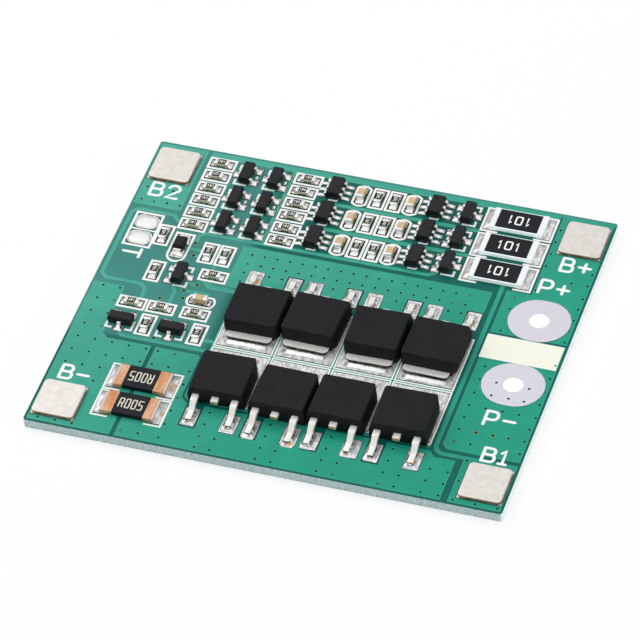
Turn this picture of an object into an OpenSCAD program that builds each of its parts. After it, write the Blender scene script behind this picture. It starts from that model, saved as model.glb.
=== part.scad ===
// Battery management board for three lithium cells in series, flat four-corner tab layout
// Millimetres, +Z up. The origin is the centre of the underside; the front edge faces -Y.

/* [Board] */
// Board length along X
board_l = 55; // [54:0.1:57]
// Board depth along Y
board_w = 46; // [45:0.1:48]
// Finished board thickness, mask to mask
board_t = 1.2; // [1:0.1:1.6]
// Plan radius of the four board corners
board_corner_r = 0.35; // [0.2:0.05:2]
// Masked margin left between the copper and the cut edge
edge_margin = 0.3; // [0.2:0.05:0.6]

/* [Wire holes] */
// Inner radius of the two plated output holes
wire_hole_r = 1.1; // [0.8:0.05:1.4]
// Plating wall inside each hole
plating_wall = 0.18; // [0.16:0.01:0.3]
// Half height of the tinned ring around a hole
ring_r = 3.2; // [2.4:0.1:3.2]
// Half of the straight part that makes the ring wider than high
ring_stretch = 0.37; // [0:0.01:0.5]
// X of both hole axes
wire_hole_x = 23.2; // [22.5:0.1:23.6]
// Y of the positive output hole
p_plus_y = 5.93; // [5.9:0.01:6.2]
// Y of the negative output hole
p_minus_y = -4.25; // [-4.6:0.01:-4.2]

/* [Cell tabs] */
// Weld tab width along X
tab_l = 4.92; // [4:0.02:5]
// Weld tab depth along Y
tab_w = 5.1; // [4:0.02:5.15]
// Weld tab thickness
tab_t = 0.4; // [0.2:0.05:0.6]
// Plan radius of the weld tab corners
tab_corner_r = 0.55; // [0.2:0.05:1]
// Chamfer round the weld tab top
tab_chamfer = 0.09; // [0.02:0.01:0.15]
// Distance from the board centre to a tab centre along X
tab_x = 24.55; // [24.3:0.05:24.6]
// Distance from the board centre to a tab centre along Y
tab_y = 19.28; // [19:0.02:19.4]

/* [Power transistors] */
// Moulded body width at the parting line
fet_w = 6.54; // [6.3:0.01:6.6]
// Moulded body length at the parting line
fet_l = 6.1; // [5.9:0.05:6.3]
// Body top above the pads
fet_h = 2.16; // [2:0.02:2.4]
// Distance between the two outer legs
fet_leg_pitch = 4.57; // [4.5:0.01:4.6]
// Thickness of the leadframe metal
fet_metal_t = 0.45; // [0.4:0.05:0.6]
// Distance between neighbouring transistors
fet_pitch = 7.03; // [6.95:0.01:7.1]

/* [Channels] */
// Y of the first cell channel, nearest the back edge
channel_y = 20.05; // [19.9:0.05:20.1]
// Distance between the three cell channels
channel_pitch = 4.13; // [4.1:0.01:4.2]

/* [Hidden] */
$fn = 24;
hair = 0.01;
top = board_t;
inlay = 0.03;
skin_t = 0.04;
pad_top = top + 0.025;
print_t = 0.015;
mask_gap = 0.08;
half_l = board_l / 2;
half_w = board_w / 2;
copper_x = half_l - edge_margin;
copper_y = half_w - edge_margin;
channels = [0, 1, 2];
barrel_r = wire_hole_r + plating_wall;
via_r = 0.15;
wire_holes = [[wire_hole_x, p_plus_y], [wire_hole_x, p_minus_y]];
tab_spots = [[-tab_x, -tab_y], [tab_x, -tab_y], [-tab_x, tab_y], [tab_x, tab_y]];
tab_pad = [5.05, 5.2];

// Power transistor rows: the front row has its legs to the front, the back row to the back
fet_x0 = -7.4;
fet_front_y = -12.45;
fet_back_y = -1.5;
fet_columns = [0, 1, 2, 3];
// Placement scatter of each soldered transistor, front row first, as the pictured board shows
fet_scatter = [[-0.15, -0.09], [0.06, -0.52], [-0.35, -0.3], [-0.23, -0.17],
               [0.08, -0.1], [-0.22, 0.12], [0.07, -0.08], [-0.21, -0.17]];
// How far each one sits turned on its pads, in degrees
fet_skew = [1.6, -1, -0.2, 1.1, 0.8, -1.2, 1.4, -1.1];
// Draft of the moulding's long sides and ends above the parting line, and of all below it
fet_draft = [0.23, 0.12, 0.02];
fet_edge = 0.06;
fet_tab_out = 0.86;
fet_tab_w = 5.3;
fet_leg_out = 3.05;
fet_leg_z = 1.06;
fet_leg_w = 0.66;
fet_leg_root_w = 0.74;
fet_stub_w = 0.8;
fet_stub_out = 0.72;
fet_pad_inner = 4.15;
fet_pad_outer = 6.85;
gate_pad_w = 1.6;
source_pad_w = 1.75;
gate_clear = 0.22;
drain_pad_w = 6.4;
drain_pad_back = 5.1;
drain_pad_front = -2.5;

// Chip sizes: length, width, height and the length of one end cap
chip_l = 1.6;
chip_w = 0.8;
chip_cap = 0.32;
resistor_h = 0.45;
capacitor_h = 0.8;
chip_pad = [0.86, 0.95];
chip_pad_x = 0.85;
power_l = 6.3;
power_w = 3.15;
power_h = 0.58;
power_cap = 0.6;
power_pad = [1.55, 3.25];
power_pad_x = 3.15;

// Small outline packages: body width, body length, height and leg span
sot_w = 1.3;
sot_l = 2.9;
sot_h = 1.05;
sot_reach = 1.22;
sot_step = 0.95;
ic_w = 1.6;
ic_h = 1.1;
ic_reach = 1.42;
small_draft = [0.1, 0.1, 0.1];

// Places in one channel: X, and Y measured from the channel line
flat_resistor_x = [-19.33, -8.83];
flat_resistor_dy = [0.96, -1.1];
tall_resistor_x = [-0.07, 1.93];
tall_capacitor_x = [-2.1, 3.92];
sense_x = -15.93;
shift_x = -12.45;
left_transistor_dy = -0.17;
bleed_transistor_x = 10.67;
protection_x = -5.2;
balance_x = 6.87;
bleed_x = 16.73;

// Places in the control corner at the left
corner_tall = [[-22.02, 8.3], [-16.1, 6.77], [-14.1, 6.77], [-21.1, 2.55], [-19.2, -5.8], [-13.1, -5.8]];
corner_flat = [[-14.35, 3.38], [-14.4, -2.83], [-21.9, -2.87], [-18.42, -2.87]];
corner_capacitor = [-14.42, -0.8];
driver_side = [-18.05, 2.5];
driver_front = [[-22.05, -5.95], [-16.1, -5.95]];
diode_at = [-19.6, 7.05];
probe_pads = [[-24.6, 9.85], [-24.6, 7.25]];
shunt_at = [[-16.5, -14.22], [-16.5, -18.35]];

function channel(k) = channel_y - k * channel_pitch;
function fet_column(i) = fet_x0 + i * fet_pitch;
function fet_spot(i) = i < 4
    ? [fet_column(i), fet_front_y]
    : [fet_column(i - 4), fet_back_y];
function fet_place(i) = fet_spot(i) + fet_scatter[i];
function fet_turn(i) = i < 4 ? 0 : 180;
function fet_angle(i) = fet_turn(i) + fet_skew[i];

// Outline of a strip of even thickness that follows a bent line
function unit(v) = v / norm(v);
function side(v) = [-v[1], v[0]];
function along(p, i) = unit(p[i + 1] - p[i]);
function before(p, i) = i > 0 ? along(p, i - 1) : along(p, 0);
function after(p, i) = i < len(p) - 1 ? along(p, i) : along(p, i - 1);
function mitre(p, i) = let(m = unit(side(before(p, i)) + side(after(p, i)))) m / (m * side(before(p, i)));
function strip(p, h) = concat([for (i = [0:len(p) - 1]) p[i] + mitre(p, i) * h],
    [for (i = [len(p) - 1:-1:0]) p[i] - mitre(p, i) * h]);
function bend(a, b, c, d) = let(s = b + d * unit(a - b), e = b + d * unit(c - b))
    [s, s * 0.25 + b * 0.5 + e * 0.25, e];
function gull(x0, x1, x2, x3, z, t) = concat([[x0, z]],
    bend([x0, z], [x1, z], [x2, t / 2], t * 0.6), bend([x1, z], [x2, t / 2], [x3, t / 2], t * 0.6),
    [[x3, t / 2]]);

// Flat shapes
module rounded(w, h, r) {
    square([w - 2 * r, h], center = true);
    square([w, h - 2 * r], center = true);
    for (x = [-1, 1], y = [-1, 1]) translate([x * (w / 2 - r), y * (h / 2 - r)]) circle(r);
}
module box_at(x0, x1, y0, y1) {
    translate([x0, y0]) square([x1 - x0, y1 - y0]);
}
module trace(p, w) {
    // Mitred line with round ends, a hair narrower so that no arc lies tangent to a side
    polygon(strip(p, w / 2));
    for (q = [p[0], p[len(p) - 1]]) translate(q) circle(w / 2 - hair);
}
module ring_plan(r = ring_r) {
    for (s = [-1, 1]) translate([s * ring_stretch, 0]) circle(r, $fn = 96);
    square([2 * ring_stretch, 2 * r], center = true);
}
module board_plan(inset = 0) {
    rounded(board_l - 2 * inset, board_w - 2 * inset, board_corner_r);
}

// Profile solids: a plan or side profile turned upright and pushed through the part
module push_y(l) {
    rotate([90, 0, 0]) linear_extrude(l, center = true) children();
}
module push_x(l) {
    rotate([90, 0, 90]) linear_extrude(l, center = true) children();
}

// Footprints, each drawn round its own centre and grown by g on every side
module pad_2d(size, g) {
    square([size[0] + 2 * g, size[1] + 2 * g], center = true);
}
module chip_pads(g) {
    for (s = [-1, 1]) translate([s * chip_pad_x, 0]) pad_2d(chip_pad, g);
}
module power_pads(g) {
    for (s = [-1, 1]) translate([s * power_pad_x, 0]) pad_2d(power_pad, g);
}
module sot_pads(g) {
    translate([-1.1, 0]) pad_2d([1, 0.95], g);
    for (s = [-1, 1]) translate([1.1, s * sot_step]) pad_2d([1, 0.95], g);
}
module ic_pads(g) {
    for (x = [-1, 1], y = [-1, 0, 1]) translate([x * 1.44, y * sot_step]) pad_2d([1, 0.52], g);
}
module diode_pads(g) {
    for (s = [-1, 1]) translate([0, s * 1.25]) pad_2d([1.35, 1.2], g);
}
module fet_pads(g) {
    leg_y = -(fet_pad_inner + fet_pad_outer) / 2;
    leg_l = fet_pad_outer - fet_pad_inner;
    translate([-fet_leg_pitch / 2, leg_y]) pad_2d([gate_pad_w, leg_l], g);
    translate([fet_leg_pitch / 2, leg_y]) pad_2d([source_pad_w, leg_l], g);
    translate([0, (drain_pad_back + drain_pad_front) / 2])
        pad_2d([drain_pad_w, drain_pad_back - drain_pad_front], g);
}
module gate_clearance() {
    w = gate_pad_w / 2 + gate_clear;
    translate([-fet_leg_pitch / 2, 0]) box_at(-w, w, -fet_pad_outer - gate_clear, -3);
}

// Placements shared by a part, its pads and its print
module at_flat_resistors() {
    for (k = channels, x = flat_resistor_x, dy = flat_resistor_dy) translate([x, channel(k) + dy]) children();
    for (p = corner_flat) translate(p) children();
}
module at_tall_resistors() {
    for (k = channels, x = tall_resistor_x) translate([x, channel(k)]) rotate(90) children();
    for (p = corner_tall) translate(p) rotate(90) children();
}
module at_resistors() {
    at_flat_resistors() children();
    at_tall_resistors() children();
}
module at_tall_capacitors() {
    for (k = channels, x = tall_capacitor_x) translate([x, channel(k)]) rotate(90) children();
}
module at_capacitors() {
    at_tall_capacitors() children();
    translate(corner_capacitor) children();
}
module at_left_transistors(x) {
    for (k = channels) translate([x, channel(k) + left_transistor_dy]) children();
}
module at_bleed_transistors() {
    for (k = channels) translate([bleed_transistor_x, channel(k)]) rotate(180) children();
}
module at_drivers() {
    translate(driver_side) rotate(180) children();
    for (p = driver_front) translate(p) rotate(90) children();
}
module at_transistors() {
    at_left_transistors(sense_x) children();
    at_left_transistors(shift_x) children();
    at_bleed_transistors() children();
    at_drivers() children();
}
module at_ics(x) {
    for (k = channels) translate([x, channel(k)]) children();
}
module at_bleeds() {
    for (k = channels) translate([bleed_x, channel(k)]) children();
}
module at_shunts() {
    for (p = shunt_at) translate(p) children();
}
module at_fet_spots() {
    for (i = [0:7]) translate(fet_spot(i)) rotate(fet_turn(i)) children();
}

// Bare metal openings of the top mask
module pads_2d(g = 0) {
    for (p = tab_spots) translate(p) pad_2d(tab_pad, g);
    for (p = probe_pads) translate(p) rounded(2.8 + 2 * g, 2.2 + 2 * g, 0.85 + g);
    at_resistors() chip_pads(g);
    at_capacitors() chip_pads(g);
    at_transistors() sot_pads(g);
    at_ics(protection_x) ic_pads(g);
    at_ics(balance_x) ic_pads(g);
    at_bleeds() power_pads(g);
    at_shunts() power_pads(g);
    translate(diode_at) diode_pads(g);
    at_fet_spots() fet_pads(g);
}
module rings_2d(g = 0) {
    for (p = wire_holes) translate(p) ring_plan(ring_r + g);
}

// Stitching vias seen as small dark dimples in the copper fields
module via_grid(x0, dx, nx, y0, dy, ny) {
    for (i = [0:nx - 1], j = [0:ny - 1]) translate([x0 + i * dx, y0 + j * dy]) circle(via_r, $fn = 16);
}
module vias_2d() {
    via_grid(-11.2, 1.51, 18, 6.3, 1.5, 2);
    via_grid(-8.2, 1.5, 2, 4.9, 1.5, 1);
    via_grid(-0.65, 7.5, 2, 4.9, 1, 1);
    via_grid(12.9, 1.5, 2, 4.9, 1, 1);
    via_grid(-11.2, 1, 1, 3.45, 1.45, 2);
    via_grid(-26, 2.02, 2, -7.2, 2.07, 4);
    via_grid(-26, 2.02, 5, -11.35, 2.05, 2);
    via_grid(-16.5, 1.95, 2, -11.35, 2.05, 2);
    via_grid(-12.05, 1, 1, -21.75, 2.07, 6);
    via_grid(-21.95, 1, 1, -15.45, 2.1, 2);
    via_grid(-26, 2, 2, -13.4, 1, 1);
    via_grid(-16.5, 2.05, 2, -21.75, 1, 1);
    via_grid(-26, 2, 3, -22.2, 1, 1);
    for (i = fet_columns) translate([fet_column(i), 0]) {
        via_grid(-0.4, 1, 1, -18.6, 1.8, 2);
        via_grid(-0.4, 1.78, 2, -22.1, 1.7, 2);
    }
    via_grid(18.1, 2, 2, -22.1, 1.75, 3);
    via_grid(19.4, 7.45, 2, -6.4, 2.05, 3);
    via_grid(19.4, 1.9, 5, -8.4, 1, 1);
    via_grid(19.4, 7.45, 2, -10.25, 1, 1);
    via_grid(19.4, 5.6, 2, -12.1, 1, 1);
    via_grid(19.4, 1.85, 2, -14, 1, 1);
    via_grid(26.85, 1, 1, -14, 1.9, 2);
    via_grid(19.45, 7.4, 2, 3.45, 1.77, 4);
    via_grid(21.45, 1, 1, 10.5, 1.98, 6);
    via_grid(25, 1.85, 2, 12.55, 1.9, 1);
    via_grid(26.9, 1, 1, 10.45, 3.95, 2);
    via_grid(21.62, 1, 1, -19.5, 3.1, 2);
    via_grid(21.8, 2.5, 3, -22.3, 1, 1);
    via_grid(-26.5, 1.57, 3, 15.38, 1, 1);
    via_grid(-26.5, 1.55, 4, 13.3, 1, 1);
}

// Copper fields and traces under the mask
module fields_2d() {
    // Cell 2 field and the band along the back edge
    box_at(-copper_x, -21.55, 12.55, copper_y);
    box_at(-20.95, 20.9, 21.9, copper_y);
    // Positive field round B+ and P+
    box_at(18.35, copper_x, 3.02, 9.65);
    box_at(21.2, copper_x, 9.6, copper_y);
    // Negative output field round P-
    polygon([[18.35, 2.68], [copper_x, 2.68], [copper_x, -15.3], [18.95, -15.3], [18.35, -14.7]]);
    // Cell 1 field
    box_at(21.25, copper_x, -copper_y, -15.85);
    // Cell minus field
    polygon([[-copper_x, -0.6], [-23.55, -0.6], [-23.55, -8], [-22.8, -8.75], [-17.5, -8.75],
        [-17.5, -copper_y], [-copper_x, -copper_y]]);
    // Shunt output field, which runs under the front legs
    polygon([[-16.95, -8.75], [-11.95, -8.75], [-11.65, -9.05], [-11.65, -15.3], [-10.85, -16],
        [17.3, -16], [17.95, -16.8], [20.4, -16.8], [20.4, -copper_y], [-16.95, -copper_y]]);
    // Common drain field under both transistor rows
    polygon([[-11, 1.15], [17.08, 1.15], [17.08, -15.62], [-10.7, -15.62], [-11.35, -15.05],
        [-11.35, -8.9], [-11, -8.55]]);
    // Source field of the back row
    polygon([[-12.55, 8.95], [16.85, 8.95], [16.85, 1.5], [-11.1, 1.5], [-11.1, 2.3], [-12.55, 2.3]]);
}
module traces_2d() {
    // Sense lines between the channels
    for (y = [13.85, 17.97]) trace([[-4.9, y], [12.3, y]], 0.5);
    trace([[-18.08, 8], [-18.08, 9.2], [-17.6, 9.78], [9, 9.78], [9.75, 10.3]], 0.45);
    trace([[-10.78, 10], [-10.78, 22]], 0.34);
    // Thermistor and driver lines in the control corner
    trace([[-21.2, 10.9], [-21.9, 11.7], [-26.3, 11.7], [-26.88, 11.1], [-26.88, 0.95], [-26.2, 0.3],
        [-21.95, 0.3], [-21.15, -0.5], [-21.15, -2.3]], 0.38);
    trace([[-19, 1.5], [-18.35, 1], [-17.8, 0.1], [-17.8, -2.3]], 0.36);
    trace([[-19, 7], [-17, 7]], 0.3);
    trace([[-17.65, 6], [-16.6, 6]], 0.3);
    trace([[-14.8, 5.6], [-14.8, 3.8]], 0.32);
    trace([[-15.2, 2.7], [-14.2, 1.7], [-11.25, 1.7]], 0.6);
    trace([[-16.9, 2.3], [-16.3, 1.62], [-15.7, 1.62]], 0.4);
    trace([[-16.85, 0.45], [-14, 0.5]], 0.42);
    trace([[-16.55, -0.75], [-15.5, -0.8]], 0.3);
    trace([[-19.1, -1.4], [-19.1, -2.4]], 0.3);
    trace([[-12.2, -6.4], [-11.2, -6.4]], 0.5);
    trace([[-22, -7.3], [-21.3, -7.97], [-11.3, -7.97]], 0.42);
    // Long line past the transistors to the cell 1 field
    trace([[17.7, 10.4], [17.7, -15.1], [17.95, -15.75], [18.6, -16.1], [21.6, -16.1]], 0.46);
}
module copper_2d() {
    difference() {
        fields_2d();
        at_fet_spots() gate_clearance();
        pads_2d(mask_gap);
        rings_2d(mask_gap);
        vias_2d();
    }
    difference() {
        traces_2d();
        pads_2d(mask_gap);
        vias_2d();
    }
}

// Printed outlines, each a set of plain strokes
module frame_2d(w, h, t) {
    difference() {
        square([w, h], center = true);
        square([w - 2 * t, h - 2 * t], center = true);
    }
}
module arch(w, t, y0) {
    r = 1.25;
    translate([0, y0 - r]) intersection() {
        difference() {
            circle(r, $fn = 48);
            circle(r - t, $fn = 48);
        }
        box_at(-w / 2, w / 2, 0, r + 1);
    }
}
module capacitor_print() {
    for (s = [-1, 1]) translate([0, s * 0.79]) square([2.6, 0.28], center = true);
    rotate(-90) arch(1.8, 0.28, 1.74);
    rotate(90) arch(1.8, 0.28, 1.74);
}
module sot_print() {
    for (s = [-1, 1]) {
        translate([-1.12, s * 1.2]) square([0.28, 0.9], center = true);
        translate([-0.4, s * 1.51]) square([1.5, 0.26], center = true);
    }
    translate([1.2, 0]) square([0.26, 0.46], center = true);
}
module ic_print() {
    translate([0.1, -1.5]) square([1.1, 0.24], center = true);
    translate([0.58, -1.25]) square([0.18, 0.5], center = true);
    translate([-1.35, 1.7]) square([0.16, 0.5], center = true);
}
module bracket_print(x, h, reach, t) {
    for (s = [-1, 1]) {
        translate([s * x, 0]) square([t, 2 * h], center = true);
        for (u = [-1, 1]) translate([s * (x + t / 2 - reach / 2), u * (h - t / 2)])
            square([reach, t], center = true);
    }
}
module diode_print() {
    for (s = [-1, 1]) translate([s * 1.04, 0.35]) square([0.27, 3.65], center = true);
    translate([0, 2.05]) square([2.35, 0.27], center = true);
    translate([0, -1.4]) intersection() {
        difference() {
            circle(1.175, $fn = 48);
            circle(0.905, $fn = 48);
        }
        box_at(-2, 2, -2, 0);
    }
}
module fet_print() {
    x = 3.34;
    t = 0.18;
    translate([0, 5.32]) square([2 * x + t, t], center = true);
    for (s = [-1, 1]) {
        translate([s * x, 1.3]) square([t, 8.2], center = true);
        translate([s * (x - 0.1), -2.72]) square([0.36, t], center = true);
    }
}
module probe_print() {
    translate([-24.6, 8.55]) {
        frame_2d(3.4, 5.55, 0.27);
        square([3, 0.2], center = true);
    }
}
module stripe_print() {
    difference() {
        box_at(18.25, 27.1, -1.03, 2.65);
        translate([26.85, -0.25]) circle(via_r, $fn = 16);
    }
}

// Shared solids
module plate(z0, z1) {
    translate([0, 0, z0]) linear_extrude(z1 - z0) children();
}
module drafted(half, z0, z1, upper, lower, nick) {
    // Upright profile with a parting line at mid height, sides that lean in above and below it
    polygon([for (s = [1, -1]) each let (side = [
        [half - lower, z0], [half, (z0 + z1) / 2], [half - upper, z1 - nick], [half - upper - nick, z1]])
        [for (i = [0:3]) let (p = side[s > 0 ? i : 3 - i]) [s * p[0], p[1]]]]);
}
module moulded(w, l, z0, z1, draft, nick) {
    // Box with drafted sides; the draft is that of the long sides, of the ends and of all below
    intersection() {
        push_y(l + 1) drafted(w / 2, z0, z1, draft[0], draft[2], nick);
        push_x(w + 1) drafted(l / 2, z0, z1, draft[1], draft[2], nick);
    }
}
module leg(w, root, reach, z, t) {
    // Gull-wing leg that leaves the body towards +X
    push_y(w) polygon(strip(gull(root, root + 0.22 + 0.2, reach - 0.42, reach, z, t), t / 2));
}
module end_caps(l, w, h, cap, t) {
    // Plated ends that wrap a chip's end, top and bottom
    for (s = [0, 180]) rotate(s) difference() {
        translate([l / 2 - cap, -w / 2, 0]) cube([cap, w, h]);
        translate([l / 2 - cap - hair, -w / 2 - hair, t]) cube([cap - t + hair, w + 2 * hair, h - 2 * t]);
    }
}
module chip_core(l, w, h, cap, t) {
    translate([-l / 2 + t, -w / 2, t]) cube([l - 2 * t, w, h - 2 * t]);
}
module on_pads() {
    translate([0, 0, pad_top]) children();
}

// Power transistor, legs towards -Y, resting on its pads
module fet_plan() {
    r = fet_w / 2 + hair;
    polygon([[-r, -4], [r, -4], [r, fet_l / 2 - 0.9], [r - 0.5, fet_l / 2 + hair],
        [-r + 0.5, fet_l / 2 + hair], [-r, fet_l / 2 - 0.9]]);
}
module fet_slug() {
    // Drain plate with its tab end, and the short middle leg that rises from it
    end = fet_l / 2 + fet_tab_out;
    r = 0.6;
    plate(0, fet_metal_t) {
        box_at(-fet_tab_w / 2, fet_tab_w / 2, -1.9, end - r);
        box_at(-fet_tab_w / 2 + r, fet_tab_w / 2 - r, 0, end);
        for (s = [-1, 1]) translate([s * (fet_tab_w / 2 - r), end - r]) circle(r);
    }
    half = fet_stub_w / 2;
    plate(0, fet_leg_z + fet_metal_t / 2) box_at(-half, half, -2.4, -1.8);
    plate(fet_leg_z - fet_metal_t / 2, fet_leg_z + fet_metal_t / 2)
        box_at(-half, half, -fet_l / 2 - fet_stub_out, -2.3);
}
module fet_leg() {
    y = fet_l / 2;
    line = gull(y - 0.6, y + 0.85, y + 1.75, y + fet_leg_out, fet_leg_z, fet_metal_t);
    rotate(-90) {
        push_y(fet_leg_w) polygon(strip(line, fet_metal_t / 2));
        intersection() {
            push_y(fet_leg_root_w) polygon(strip(line, fet_metal_t / 2));
            translate([0, -1, 0]) cube([y + 0.95, 2, 2]);
        }
    }
}
module fet_metal() {
    fet_slug();
    for (s = [-1, 1]) translate([s * fet_leg_pitch / 2, 0, 0]) fet_leg();
}
module fet_body() {
    difference() {
        intersection() {
            moulded(fet_w, fet_l, 0, fet_h, fet_draft, fet_edge);
            plate(-1, fet_h + 1) fet_plan();
        }
        fet_metal();
    }
}
module at_fet(i) {
    on_pads() translate(fet_place(i)) rotate(fet_angle(i)) children();
}
module mosfet_body(i) {
    color("#2b2a2f") at_fet(i) fet_body();
}
module mosfet_legs(i) {
    color("#c9c6c4") at_fet(i) fet_metal();
}

// Small packages, resting on their pads
module sot_legs() {
    rotate(180) leg(0.42, sot_w / 2 - 0.2, sot_reach, 0.52, 0.13);
    for (s = [-1, 1]) translate([0, s * sot_step, 0]) leg(0.42, sot_w / 2 - 0.2, sot_reach, 0.52, 0.13);
}
module sot_body() {
    difference() {
        moulded(sot_w, sot_l, 0.08, sot_h, small_draft, 0.04);
        sot_legs();
    }
}
module ic_legs() {
    for (a = [0, 180], y = [-1, 0, 1]) rotate(a) translate([0, y * sot_step, 0])
        leg(0.4, ic_w / 2 - 0.2, ic_reach, 0.58, 0.13);
}
module ic_body() {
    difference() {
        moulded(ic_w, sot_l, 0.08, ic_h, small_draft, 0.04);
        ic_legs();
    }
}
module diode_metal() {
    for (a = [90, -90]) rotate(a) leg(0.9, 0.65, 1.45, 0.42, 0.14);
}

// Nodes
module board_core() {
    color("#c3cfc6") difference() {
        plate(0, top - skin_t) board_plan();
        plate(-hair, inlay) board_plan(0.15);
        for (p = wire_holes) translate(p) plate(-1, top + 1) circle(barrel_r, $fn = 64);
    }
}
module solder_mask() {
    color("#2c7468") {
        plate(top - skin_t, top - inlay) difference() {
            board_plan();
            for (p = wire_holes) translate(p) circle(barrel_r, $fn = 64);
        }
        plate(top - inlay, top) difference() {
            board_plan();
            copper_2d();
            pads_2d();
            rings_2d();
        }
        plate(0, inlay) difference() {
            board_plan(0.15);
            rings_2d();
        }
    }
}
module masked_copper() {
    color("#43a58c") plate(top - inlay, top) copper_2d();
}
module bare_pads() {
    color("#dcdbe0") plate(top - inlay, pad_top) pads_2d();
}
module wire_ring(p, dots) {
    // Tinned top and bottom rings joined by the plated barrel
    translate(p) difference() {
        union() {
            plate(top - inlay, top + 0.03) ring_plan();
            plate(0, inlay) ring_plan();
            plate(0, top) circle(barrel_r, $fn = 64);
        }
        plate(-1, top + 1) circle(wire_hole_r, $fn = 64);
        for (d = dots) translate(d) plate(top, top + 1) circle(0.14, $fn = 16);
    }
}
module p_plus_ring() {
    color("#d9d8e1") wire_ring(wire_holes[0], []);
}
module p_minus_ring() {
    color("#d9d8e1") wire_ring(wire_holes[1], [[-1.87, -0.15], [1.87, -0.15],
        [-1.87, -2.15], [0.1, -2.15], [1.87, -2.15]]);
}
module silkscreen() {
    color("#f2f3ea") plate(top, top + print_t) {
        at_resistors() frame_2d(3.35, 1.88, 0.28);
        at_capacitors() capacitor_print();
        at_transistors() sot_print();
        at_ics(protection_x) ic_print();
        at_ics(balance_x) ic_print();
        at_bleeds() bracket_print(4.1, 1.95, 2.1, 0.25);
        at_shunts() bracket_print(4.05, 2.02, 2.05, 0.22);
        at_fet_spots() fet_print();
        translate(diode_at) diode_print();
        probe_print();
        stripe_print();
    }
}
module via_rings() {
    color("#b9a878") plate(top, top + 0.01)
        for (p = [[-17.65, 6.02], [-18.08, 7.98], [-15.7, 1.65], [-16.85, 0.42], [-16.55, -0.75],
                [-19.1, -1.4], [-17.68, -7.5], [21.35, -12.15], [23.25, -12.12]])
            translate(p) difference() {
                circle(0.3);
                circle(0.16);
            }
}
module cell_tab(p) {
    // Nickel weld tab with a broken top edge
    c = tab_chamfer;
    color("#dfd8d4") translate([p[0], p[1], pad_top]) intersection() {
        plate(0, tab_t) rounded(tab_l, tab_w, tab_corner_r);
        push_y(tab_w + 1) polygon([[-tab_l / 2, 0], [tab_l / 2, 0], [tab_l / 2, tab_t - c],
            [tab_l / 2 - c, tab_t], [-tab_l / 2 + c, tab_t], [-tab_l / 2, tab_t - c]]);
        push_x(tab_l + 1) polygon([[-tab_w / 2, 0], [tab_w / 2, 0], [tab_w / 2, tab_t - c],
            [tab_w / 2 - c, tab_t], [-tab_w / 2 + c, tab_t], [-tab_w / 2, tab_t - c]]);
    }
}
module bleed_ceramics() {
    color("#eef2f2") on_pads() at_bleeds() chip_core(power_l, power_w, power_h, power_cap, 0.04);
}
module bleed_coats() {
    color("#25262c") on_pads() at_bleeds() translate([-0.04, 0, power_h - 0.04 + 0.03])
        cube([4.96, 2.85, 0.06], center = true);
}
module bleed_terminals() {
    color("#dddde2") on_pads() at_bleeds() end_caps(power_l, power_w, power_h, power_cap, 0.04);
}
module shunt_bodies() {
    // Resistive bar coated black in the middle
    color("#232226") on_pads() for (i = [0, 1]) translate(shunt_at[i])
        translate([0.1 - 0.25 * (1 - i) - 1.8, -power_w / 2, 0.02]) cube([3.6, power_w, power_h]);
}
module shunt_terminals() {
    // Copper ends that run up to the coat, with a tinned face at each end
    color("#cf9670") on_pads() for (i = [0, 1]) translate(shunt_at[i]) {
        x = 0.1 - 0.25 * (1 - i);
        translate([-power_l / 2, -power_w / 2, 0]) cube([power_l / 2 + x - 1.8, power_w, power_h - 0.03]);
        translate([x + 1.8, -power_w / 2, 0]) cube([power_l / 2 - x - 1.8, power_w, power_h - 0.03]);
    }
}
module protection_ic(k) {
    color("#26252a") on_pads() translate([protection_x, channel(k)]) ic_body();
}
module protection_ic_legs() {
    color("#d8d8dc") on_pads() at_ics(protection_x) ic_legs();
}
module balance_ic(k) {
    color("#26252a") on_pads() translate([balance_x, channel(k)]) ic_body();
}
module balance_ic_legs() {
    color("#d8d8dc") on_pads() at_ics(balance_x) ic_legs();
}
module sense_transistors() {
    color("#232227") on_pads() at_left_transistors(sense_x) sot_body();
}
module sense_transistor_legs() {
    color("#d8d8dc") on_pads() at_left_transistors(sense_x) sot_legs();
}
module shift_transistors() {
    color("#232227") on_pads() at_left_transistors(shift_x) sot_body();
}
module shift_transistor_legs() {
    color("#d8d8dc") on_pads() at_left_transistors(shift_x) sot_legs();
}
module bleed_transistors() {
    color("#232227") on_pads() at_bleed_transistors() sot_body();
}
module bleed_transistor_legs() {
    color("#d8d8dc") on_pads() at_bleed_transistors() sot_legs();
}
module driver_transistors() {
    color("#232227") on_pads() at_drivers() sot_body();
}
module driver_transistor_legs() {
    color("#d8d8dc") on_pads() at_drivers() sot_legs();
}
module diode_body() {
    color("#2a292c") on_pads() translate(diode_at) difference() {
        moulded(1.4, 1.8, 0.04, 0.98, [0.12, 0.12, 0.12], 0.12);
        diode_metal();
    }
}
module diode_legs() {
    color("#d8d8dc") on_pads() translate(diode_at) diode_metal();
}
module resistor_ceramics() {
    color("#c9c7b4") on_pads() at_resistors() chip_core(chip_l, chip_w, resistor_h, chip_cap, 0.03);
}
module resistor_coats() {
    color("#2e2f30") on_pads() at_resistors() translate([0, 0, resistor_h - 0.03 + 0.02])
        cube([0.94, 0.76, 0.04], center = true);
}
module resistor_terminals() {
    color("#dcdce0") on_pads() at_resistors() end_caps(chip_l, chip_w, resistor_h, chip_cap, 0.03);
}
module capacitor_bodies() {
    color("#c9a57c") on_pads() at_capacitors() chip_core(chip_l, chip_w, capacitor_h, chip_cap, 0.03);
}
module capacitor_terminals() {
    color("#dcdce0") on_pads() at_capacitors() end_caps(chip_l, chip_w, capacitor_h, chip_cap, 0.03);
}

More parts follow.
